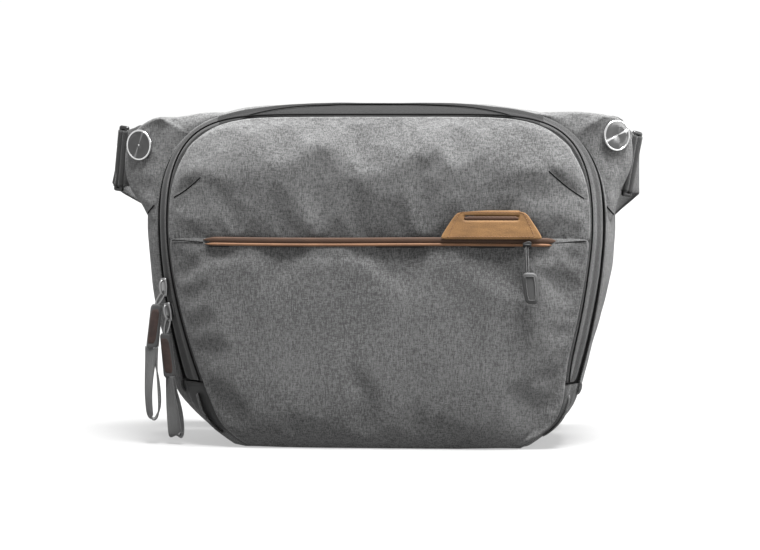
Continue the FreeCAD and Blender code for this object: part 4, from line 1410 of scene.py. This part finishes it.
def pull_link(name, body, start, end):
    """The wire ring between a slider's bridge and its tab."""
    middle, half = (start + end) / 2, (end - start) / 2
    path = [middle + half * 1.05 * math.cos(a) + TAB_SIDE * 1.9 * math.sin(a)
            for a in np.linspace(0, 2 * math.pi, 28, endpoint=False)]
    obj = make_piece(f"{name}_link_wire", *tube(np.array(path), 0.75, 10, wrap=True), [SLIDER_METAL])
    dress(obj, body, "slider_metal", f"{name}_pull_link")


def pull_loop(name, body, points):
    """The ribbon loop under a tab: down one leg, round the foot and up the other. Points are
    (sideways, forwards, down, turn in degrees) from the tab's foot."""
    low, high = cad_box(f"{name}_pull_loop")
    tab_low, tab_high = cad_box(f"{name}_pull_tab")
    top = np.array([*(low + high)[:2] / 2, high[2]]) + PULL_SHIFT[name]
    top = top + TAB_SIDE * PULL_LEAN[name] * (tab_high[2] - tab_low[2]) / 2
    path, ways = [], []
    for a, b, down, turn in points:
        path.append(top + TAB_SIDE * a + TAB_FLAT * b - np.array([0, 0, down]))
        ways.append(TAB_SIDE * math.cos(math.radians(turn)) + TAB_FLAT * math.sin(math.radians(turn)))
    path = smooth_path(path, 7)
    strip_points, faces, uv = ribbon(path, smooth_path(ways, 7), 9.6, 1.1, 7)
    obj = make_piece(f"{name}_loop_ribbon", strip_points, faces, [RIBBON], uv=uv)
    length = run_length(path)
    dress(obj, body, "ribbon", f"{name}_pull_loop")
    return obj


def pulls():
    """Both main pulls: a wire link holds each tab, and each tab holds a ribbon loop."""
    for name in ("upper", "lower"):
        bridge = main_slider(name, f"{name}_slider")
        pull_link(name, f"{name}_pull", bridge, pull_tab(name, f"{name}_pull"))
    low, high = cad_box("upper_pull_loop")
    d = high[2] - low[2] - 0.6
    pull_loop("upper", "upper_pull",
              [(0.2, 0.9, -1.5, 0), (0.8, 1.2, 8, -12), (1.6, 1.8, 20, -24), (2.0, 1.8, 32, -30),
               (1.4, 1.0, d - 3, -34),
               (-0.8, 0.2, d, -44), (-3.6, -0.4, d - 2.2, -56), (-5.0, -0.8, d - 9, -66),
               (-4.4, -1.0, 26, -66),
               (-2.6, -1.0, 12, -54), (-0.6, -0.9, -1.5, -20)])
    low, high = cad_box("lower_pull_loop")
    d = high[2] - low[2] - 0.6
    loop = pull_loop("lower", "lower_pull",
                     [(0.0, 0.9, -1.5, -30), (-0.8, 1.1, 9, -22), (-2.0, 1.4, 18, -10), (-3.2, 1.4, 27, 2),
                      (-4.0, 0.9, d - 2, 10), (-4.6, 0.0, d, 14), (-5.0, -0.9, d - 3, 16),
                      (-4.2, -1.4, 25, 4),
                      (-2.8, -1.3, 16, -10), (-1.2, -1.1, 8, -22), (0.0, -0.9, -1.5, -30)])
    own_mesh(loop)


def pocket_pull():
    """The pocket's slider under the lip, with a thin cord and a small tab."""
    low, high = cad_box("pocket_slider")
    middle = (low + high) / 2
    axes = (np.array([0.0, 0, 1]), np.array([0.0, -1, 0]), np.array([1.0, 0, 0]))
    part = in_axes(slider_parts(5.2, 5.6, 1.6), np.array([middle[0], high[1] - 1.2, low[2] + 2.6]), *axes)
    obj = make_piece("pocket_slider_metal", *part, [COIL])
    dress(obj, "pocket_slider", "slider_metal", "pocket_slider")
    low, high = cad_box("pocket_pull_cord")
    x, y = (low[0] + high[0]) / 2, (low[1] + high[1]) / 2
    path = smooth_path([(x - 0.5, y, high[2] - 1), (x - 1.0, y - 0.5, high[2] - 4),
                        (x - 0.9, y - 0.3, low[2] + 10),
                        (x - 0.6, y, low[2] + 4), (x - 0.2, y, low[2] - 1.5)], 6)
    other = path + np.array([1.3, 0.5, 0])
    obj = make_piece("pocket_pull_cords", *join_parts([tube(path, 0.62, 8), tube(other, 0.62, 8)]), [WEBBING])
    dress(obj, "pocket_pull", "webbing", "pocket_pull_cord")
    low, high = cad_box("pocket_pull_tab")
    middle = (low + high) / 2
    rows = []
    for v in np.linspace(-1, 1, 17):
        row = []
        for u in np.linspace(-1, 1, 9):
            a, b = squircle(u, v, 6)
            lean = 0.9 * b
            row.append((middle[0] + 3.7 * a * (1 + 0.08 * b) - lean, middle[1] - 1.3 - 0.3 * (1 - a * a),
                        middle[2] + 9 * b))
        rows.append(row)
    front = np.array(rows)
    obj = make_piece("pocket_tab", *panel(front, front + np.array([0, 2.7, 0]), 4), [MOULDED_TAB])
    dress(obj, "pocket_pull", "leather_pull", "pocket_pull_tab")
    path = edge_of(front[1:-1, 1:-1]) + np.array([0, -0.25, 0])
    seam("pocket_tab_edge", path, "pocket_pull", WEBBING, 0.35, "leather_pull", wrap=True)


# ---- wings, anchors and connectors ------------------------------------------------------------------------
WING_START_X = 147.0
WING_Y = -24.7
WING_THICK = 5.0
DISC_X, DISC_Z = 162.0, 204.5
SIDES = {                # how each soft wing lies and turns outwards, and how its connector hangs
    "left": dict(sign=-1, yaw=28.0, reach=2.0, lift=-3.0, sag=2.6, swivel=7.0, bar_reach=23.5, bar_drop=-12.0,
                 strap_shift=3.0),
    "right": dict(sign=1, yaw=34.0, reach=-5.4, lift=3.5, sag=0.0, swivel=-12.0, bar_reach=25.0,
                  bar_drop=-15.0,
                  strap_shift=-6.0),
}
WING_EDGE = [            # the wing's free edge from over the shoulder round to its foot: half width, height
    (104, 223.2), (122, 222.8), (136, 222.3), (149, 220.6), (160, 217.0), (167.5, 211.0), (172, 202.5),
             (173.2, 193),
    (172.3, 183.5), (169, 174.5), (164.5, 167), (160.5, 160.5), (157.6, 153)]


def wing_depth(s, x):
    """Depth of the wing's face at half width x."""
    return WING_Y + math.tan(math.radians(s["yaw"])) * max(-8.0, x - WING_START_X)


def wing_directions(s):
    """The wing face's normal and its level outward direction."""
    yaw = math.radians(s["yaw"])
    normal = np.array([s["sign"] * math.sin(yaw), -math.cos(yaw), 0])
    return normal, np.array([s["sign"] * math.cos(yaw), math.sin(yaw), 0])


def wing_points(s):
    """The wing's face as a grid from the shell (first column) to its free edge (last)."""
    n_along, n_out = 45, 21
    edge = spaced(smooth_path([(x, z, 0) for x, z in WING_EDGE], 6)[:, :2], n_along)
    ts = even_ts(t_at_x(100, ZIP_Y), t_at_z(149), n_along, ZIP_Y)
    disc_x, disc_z = DISC_X + s["reach"], DISC_Z + s["lift"]
    grid = []
    for (x1, z1), t in zip(edge, ts):
        far = min(1.0, max(0.0, (x1 - 152) / 14))
        foot = 1 - 0.75 * max(0.0, 1 - (z1 - 153) / 22)
        dip = s["sag"] * math.exp(-((x1 - 138) / 14) ** 2) if z1 > 205 else 0.0
        x1, z1 = x1 + s["reach"] * far, z1 + s["lift"] * far * foot - dip
        x0, z0 = outline(t, WING_Y + 0.6, 1.4)
        row = []
        for r in np.linspace(0, 1, n_out):
            x, z = x0 + (x1 - x0) * r, z0 + (z1 - z0) * r
            swell = math.sin(math.pi * r)
            y = WING_Y + (wing_depth(s, x1) - WING_Y) * r ** 1.3 if x1 > WING_START_X else WING_Y + 3 * r
            p = np.array([s["sign"] * x, y - 1.0 * swell, z])
            near = math.exp(-(((x - disc_x) / 13) ** 2 + ((z - disc_z) / 13) ** 2))
            free = swell * (1 - near)
            p[1] += free * (1.5 * ripple(p, 21, 6.0 + s["sign"]) + 0.6 * ripple(p, 10, 1.0 + s["sign"]))
            p[1] += 1.8 * math.exp(-(((z - 172) / 7) ** 2 + ((x - 160) / 8) ** 2)) * swell
            row.append(p)
        grid.append(row)
    return np.array(grid)


def wing(side, s):
    """The soft wing, thicker at the shell, with a dart sewn at its foot."""
    face = wing_points(s)
    normal, _ = wing_directions(s)
    depth_of = WING_THICK + 8.0 * (1 - np.linspace(0, 1, face.shape[1])) ** 3
    back = face - normal[None, None, :] * depth_of[None, :, None]
    obj = refine(make_piece(f"wing_{side}_fabric", *panel(face, back, 4), [HEATHER]))
    dress(obj, "bag_body", "heather_fabric", f"wing_{side}")
    tree = tree_of(obj)
    path = []
    for share in np.linspace(0, 1, 8):
        x, z = 160.0 - 7 * share + 0.4 * s["reach"], 153 + 8 * share
        found = drop_on(tree, (s["sign"] * x, -80, z), (0, 1, 0), 60)
        if found:
            path.append(found[0])
    if len(path) > 2:
        # The dart is a real seam; its dark tube is painted shade in its slit.
        seam(f"wing_dart_{side}", path, "bag_body", SEAM_SHADOW, 0.5, "smooth_fabric")


def anchor(side, s):
    """The turned disc, with a bright rim, about the anchor's own axis."""
    normal, _ = wing_directions(s)
    low, high = cad_box(f"anchor_disc_{side}")
    centre = (low + high) / 2 - normal * 1.3
    radius = (high[2] - low[2]) / 2
    rim = [(0.01, 0.0), (radius - 0.8, 0.0), (radius, 0.5), (radius, 1.5), (radius - 0.25, 2.2),
           (radius - 0.8, 2.55),
           (radius - 1.15, 2.45), (radius - 1.3, 2.0), (0.01, 2.0)]
    points, faces, uv = lathe(rim, centre, normal, 96)
    obj = make_piece(f"anchor_{side}_rim", points, faces, [ANCHOR_RIM], uv=uv)
    dress(obj, f"connector_{side}", "anchor_metal", f"anchor_disc_{side}")
    r = radius - 1.3
    face = [(0.01, 1.7), (r, 1.7), (r, 2.1), (r - 0.3, 2.25), (r * 0.6, 2.2), (0.7, 2.1), (0.5, 1.95),
            (0.01, 1.95)]
    points, faces, uv = lathe(face, centre, normal, 96)
    obj = make_piece(f"anchor_{side}_face", points, faces, [ANCHOR_FACES[side]], uv=uv)
    dress(obj, f"connector_{side}", "anchor_metal")


def connector_axes(s):
    """The connector's hub behind the wing, and its directions along, across and out."""
    normal, outward = wing_directions(s)
    x = DISC_X + s["reach"]
    centre = np.array([s["sign"] * x, wing_depth(s, x), DISC_Z + s["lift"]])
    turn = math.radians(s["swivel"])
    up = np.array([0.0, 0.0, 1.0])
    along = outward * math.cos(turn) + up * math.sin(turn)
    across = up * math.cos(turn) - outward * math.sin(turn)
    return centre - normal * (WING_THICK + 2.6), along, across, normal


def connector(side, s):
    """The webbing tab from the anchor to the strap's ring, and the strap's turn round the ring."""
    hub, along, across, normal = connector_axes(s)
    top, foot = s["bar_drop"] + STRAP_W / 2, s["bar_drop"] - STRAP_W / 2
    fold_at = s["bar_reach"] - 5.4
    high = 13.4
    stations = [(-7.0, 6.0, -4.5), (-4.0, 11.0, -8.0), (0.0, high, 0.4 * foot), (4.0, high, 0.6 * foot),
                (8.0, high - 1.0, foot + 5), (12.0, (high + top) / 2, foot + 1), (fold_at, top + 0.8, foot)]
    rings = []
    for a, high_b, low_b in stations:
        mid_b, half_b = (high_b + low_b) / 2, (high_b - low_b) / 2
        rings.append([hub + along * a + across * (mid_b + half_b * c) + normal * d for c, d in
                      [(k, 1.25) for k in np.linspace(1, -1, 9)] + [(k, -1.25) for k in np.linspace(-1, 1,
                                                                                                    9)]])
    parts = [loft(rings)]
    for place, radius in ((fold_at + 1.0, 2.6), (s["bar_reach"] - 0.6, 2.7)):
        roll = []
        for b in np.linspace(foot - 0.3, top + 0.3, 26):
            roll.append([hub + along * (place + radius * math.cos(a)) + across * b
                         + normal * radius * math.sin(a)
                         for a in np.linspace(0, 2 * math.pi, 16, endpoint=False)])
        parts.append(loft(roll))
    obj = make_piece(f"connector_webbing_{side}", *join_parts(parts), [WEBBING_PLAIN])
    dress(obj, f"connector_{side}", "webbing", f"connector_tab_{side}")
    recolour(f"strap_ring_{side}", BUCKLE_METAL)


# ---- strap ---------------------------------------------------------------------------------------
STRAP_W, STRAP_T = 38.0, 1.6
STRAP_DROP = [           # the strap's centre line and width direction from the ring's bar to the floor
    ((179.0, 20, 187), (0.00, 0.10, 1.00)),
    ((175.0, 34, 182), (0.05, 0.25, 0.95)),
    ((164.0, 54, 171), (0.15, 0.35, 0.93)),
    ((150.0, 72, 152), (0.35, 0.45, 0.82)),
    ((139.0, 82, 124), (0.45, 0.80, 0.45)),
    ((134.0, 86, 90), (0.20, 1.00, 0.15)),
    ((131.0, 86, 52), (0.00, 1.00, 0.00)),
    ((124.0, 86, 22), (0.00, 1.00, 0.00)),
    ((108.0, 86, 6.2), (0.00, 1.00, 0.00)),
    ((96.0, 86, 4.2), (0.00, 1.00, 0.00)),
]


def strap_end(side, s, inner_x):
    """One end of the shoulder strap, from its ring round behind the bag and along the floor."""
    sign = s["sign"]
    hub, along, across, normal = connector_axes(s)
    shares = [1.0, 0.85, 0.5, 0.2] + [0.0] * (len(STRAP_DROP) - 4)
    points = [hub + along * (s["bar_reach"] + 1.4) + across * s["bar_drop"] - normal * 1.0]
    points += [(sign * (p[0] + share * s["strap_shift"]), p[1], p[2]) for (p, _),
               share in zip(STRAP_DROP, shares)]
    points.append((inner_x, 86, 4.2))
    widths = [across] + [(sign * w[0], w[1], w[2]) for _, w in STRAP_DROP] + [(0, 1, 0)]
    path, ways = smooth_path(points, 8), smooth_path(widths, 8)
    strip_points, faces, uv = ribbon(path, ways, STRAP_W, STRAP_T, 11)
    obj = make_piece(f"strap_{side}", strip_points, faces, [WEBBING], uv=uv)
    length = run_length(path)
    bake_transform(obj)
    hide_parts(f"strap_drop_{side}")
    if side == "left":
        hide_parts("strap_floor_run")


def shoulder_pad():
    """The sliding pad: a padded sleeve round the strap, bound along its edges."""
    low, high = cad_box("shoulder_pad")
    mid_y, mid_z = (low[1] + high[1]) / 2, 4.2
    rings = []
    for side_of, xs in (("out", np.linspace(0, 1, 31)), ("in", np.linspace(1, 0, 15))):
        for u in xs:
            x = low[0] + (high[0] - low[0]) * u
            end = min(u, 1 - u) * (high[0] - low[0])
            ring = []
            for c, s in circle(44):
                if side_of == "out":
                    close = min(1.0, (end + 0.6) / 9)
                    half_y = (high[1] - low[1]) / 2 * (0.93 + 0.07 * math.sin(close * math.pi / 2))
                    half_z = 2.6 + 2.0 * math.sin(close * math.pi / 2)
                    cy, cz = bent(c, 0.45), bent(s, 0.8)
                    seam_dip = 1 - 0.3 * math.exp(-((abs(cy) * half_y - 20.5) / 1.6) ** 2)
                    z = 4.6 + half_z * cz * seam_dip
                    ring.append((x, mid_y + half_y * cy, max(0.0, z)))
                else:
                    ring.append((x, mid_y + 20.0 * bent(c, 0.3), mid_z + 1.3 * bent(s, 0.6)))
            rings.append(ring)
    points, faces = loft(rings, wrap=True)
    obj = make_piece("shoulder_pad_fabric", points, faces, [SMOOTH])
    dress(obj, "strap_pad", "smooth_fabric", "shoulder_pad")
    for y in (low[1] + 5.4, high[1] - 5.4):
        path = [(x, y, 20) for x in np.linspace(low[0] + 6, high[0] - 6, 60)]
        stitching(f"shoulder_pad_stitches_{'front' if y < mid_y else 'back'}", path, obj, (0, 0, -1),
                  "strap_pad")


def buckle():
    """The hardware that keeps its CAD shape."""
    for node, material in (("adjuster_frame", BUCKLE_METAL), ("adjuster_pin", SLIDER_METAL),
                           ("adjuster_lever", BUCKLE_METAL), ("anchor_studs", ANCHOR_RIM),
                           ("anchor_backplates", ANCHOR_RIM), ("back_stiffener", STIFF)):
        recolour(node, material)


def small_loops():
    """Webbing loops at the zip's ends and the stowed straps low on the sides."""
    for node, name, y0, y1, z0, z1, out in (("zip_garages", "zip_end_loop", -29.6, -23, 35.4, 42.4, 1.0),
                                            ("carry_straps", "stowed_strap", -45, -34, 9, 35, 1.2)):
        for sign, side in ((-1, "left"), (1, "right")):
            path, widths = [], []
            for k in np.linspace(0, 1, 16):
                z = z0 + (z1 - z0) * k
                stand = out * math.sin(math.pi * k) ** 0.5 + 0.5
                y = (y0 + y1) / 2
                path.append(skin_point(sign, t_at_z(z), y, -stand))
                widths.append((0, 1, 0))
            points, faces, uv = ribbon(path, widths, y1 - y0, 1.2, 6)
            obj = make_piece(f"{name}_{side}", points, faces, [WEBBING], uv=uv)
            dress(obj, "bag_body", "webbing", *([node] if side == "left" else []))


# ---- inside --------------------------------------------------------------------------------------
def divider(side):
    """A padded divider in one piece, pinched at a sewn hinge under its upper third."""
    low, high = cad_box(f"divider_base_{side}")
    flap_low, flap_high = cad_box(f"divider_flap_{side}")
    hinge = (high[2] + flap_low[2]) / 2
    mid = (low[0] + high[0]) / 2
    z_top = flap_high[2]
    faces_grid = []
    for sign in (-1, 1):
        rows = []
        for v in np.linspace(-1, 1, 60):
            row = []
            for u in np.linspace(-1, 1, 25):
                a, b = squircle(u, v, 14)
                y = (low[1] + high[1]) / 2 + (high[1] - low[1]) / 2 * a
                z = (low[2] + z_top) / 2 + (z_top - low[2]) / 2 * b
                pinch = 1 - 0.8 * math.exp(-((z - hinge) / 2.6) ** 2)
                half = 1.5 + 1.5 * (1 - abs(a) ** 6) * (1 - abs(b) ** 8)
                row.append((mid + sign * half * pinch, y, z))
            rows.append(row)
        faces_grid.append(np.array(rows))
    obj = refine(make_piece(f"divider_{side}_pad", *panel(faces_grid[0], faces_grid[1], 3), [LINING]))
    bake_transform(obj)
    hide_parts(f"divider_base_{side}", f"divider_flap_{side}")


def tablet_sleeve():
    """The sleeve's wall inside the back, with a bound top edge."""
    low, high = cad_box("tablet_sleeve")
    rows = []
    for z in np.linspace(low[2], high[2], 31):
        wide = side_x(z, 46, 16)
        rows.append([(wide * u, low[1] + 0.4 - 1.2 * (1 - u ** 4) * (z - low[2]) / (high[2] - low[2]), z)
                     for u in np.linspace(-1, 1, 41)])
    face = np.array(rows)
    obj = refine(make_piece("tablet_sleeve_wall", *panel(face, face + np.array([0, 2.2, 0]), 3), [LINING]))
    dress(obj, "bag_body", "lining", "tablet_sleeve")
    seam("tablet_sleeve_binding", face[-1] + np.array([0, 1.1, 0.6]), "bag_body", WEBBING, 1.7, "webbing")


# ---- stage ---------------------------------------------------------------------------------------
def glowing_white(name, value, glow):
    """A matt floor that glows a little, so that shadows on it stay faint."""
    s = Shader(name, 0.9)
    s.colour(grey(value))
    s.bsdf.inputs["Emission Color"].default_value = (1, 1, 1, 1)
    s.bsdf.inputs["Emission Strength"].default_value = glow
    return s.material


LAMP_DISTANCE = 3                               # metres, as are the two below
CAMERA_DISTANCE = 1.8
CAMERA_TARGET = (-0.0024, 0.0, 0.1129)
CAMERA_AZIMUTH, CAMERA_ELEVATION = 4.3, 3.0     # degrees
LENS, SENSOR_WIDTH = 125, 36                    # millimetres


def aim(obj, azimuth, elevation, distance, target=(0, 0, 0)):
    """Stands an object off a target and turns it to face it: azimuth is to the right of the bag's front."""
    a, e = math.radians(azimuth), math.radians(elevation)
    place = Vector((math.sin(a) * math.cos(e), -math.cos(a) * math.cos(e), math.sin(e)))
    obj.location = Vector(target) + place * distance
    obj.rotation_mode = "QUATERNION"
    obj.rotation_quaternion = (-place).to_track_quat("-Z", "Y")


def sun(name, azimuth, elevation, power, spread):
    """A soft lamp: all angles in degrees."""
    data = bpy.data.lights.new(name, "SUN")
    data.energy = power
    data.angle = math.radians(spread)
    aim(add_object(name, data), azimuth, elevation, LAMP_DISTANCE)


def studio():
    size = 60.0
    mesh = bpy.data.meshes.new("floor")
    mesh.from_pydata([(-size, -size, 0), (size, -size, 0), (size, size, 0), (-size, size, 0)], [],
                     [(0, 1, 2, 3)])
    mesh.materials.append(glowing_white("floor_white", 76, 0.46))
    floor = add_object("floor", mesh)
    world = bpy.data.worlds.new("studio")
    bpy.context.scene.world = world
    world.use_nodes = True
    background = world.node_tree.nodes["Background"]
    background.inputs["Color"].default_value = (1, 1, 1, 1)
    background.inputs["Strength"].default_value = 1.02
    sun("overhead", 42, 76, 20.5, 28)
    sun("side", 84, 24, 2.6, 40)
    view = bpy.context.scene.view_settings
    view.view_transform = "Standard"
    view.look = "None"


def camera():
    data = bpy.data.cameras.new("camera")
    data.lens, data.sensor_width = LENS, SENSOR_WIDTH
    eye = add_object("camera", data)
    aim(eye, CAMERA_AZIMUTH, CAMERA_ELEVATION, CAMERA_DISTANCE, CAMERA_TARGET)
    bpy.context.scene.camera = eye


studio()
camera()
shell_ring()
front_foot()
back_panel()
back_pads()
upper_panel()
pocket_face()
lid_lining()
lid_band()
lid_top_strip()
crease_shadows()
organizer()
main_zip()
pocket_zip()
pocket_lips()
label()
pulls()
pocket_pull()
for side_name, side_values in SIDES.items():
    wing(side_name, side_values)
    anchor(side_name, side_values)
    connector(side_name, side_values)
    divider(side_name)
shoulder_pad()
strap_end("left", SIDES["left"], 20.0)
strap_end("right", SIDES["right"], 36.0)
buckle()
small_loops()
tablet_sleeve()
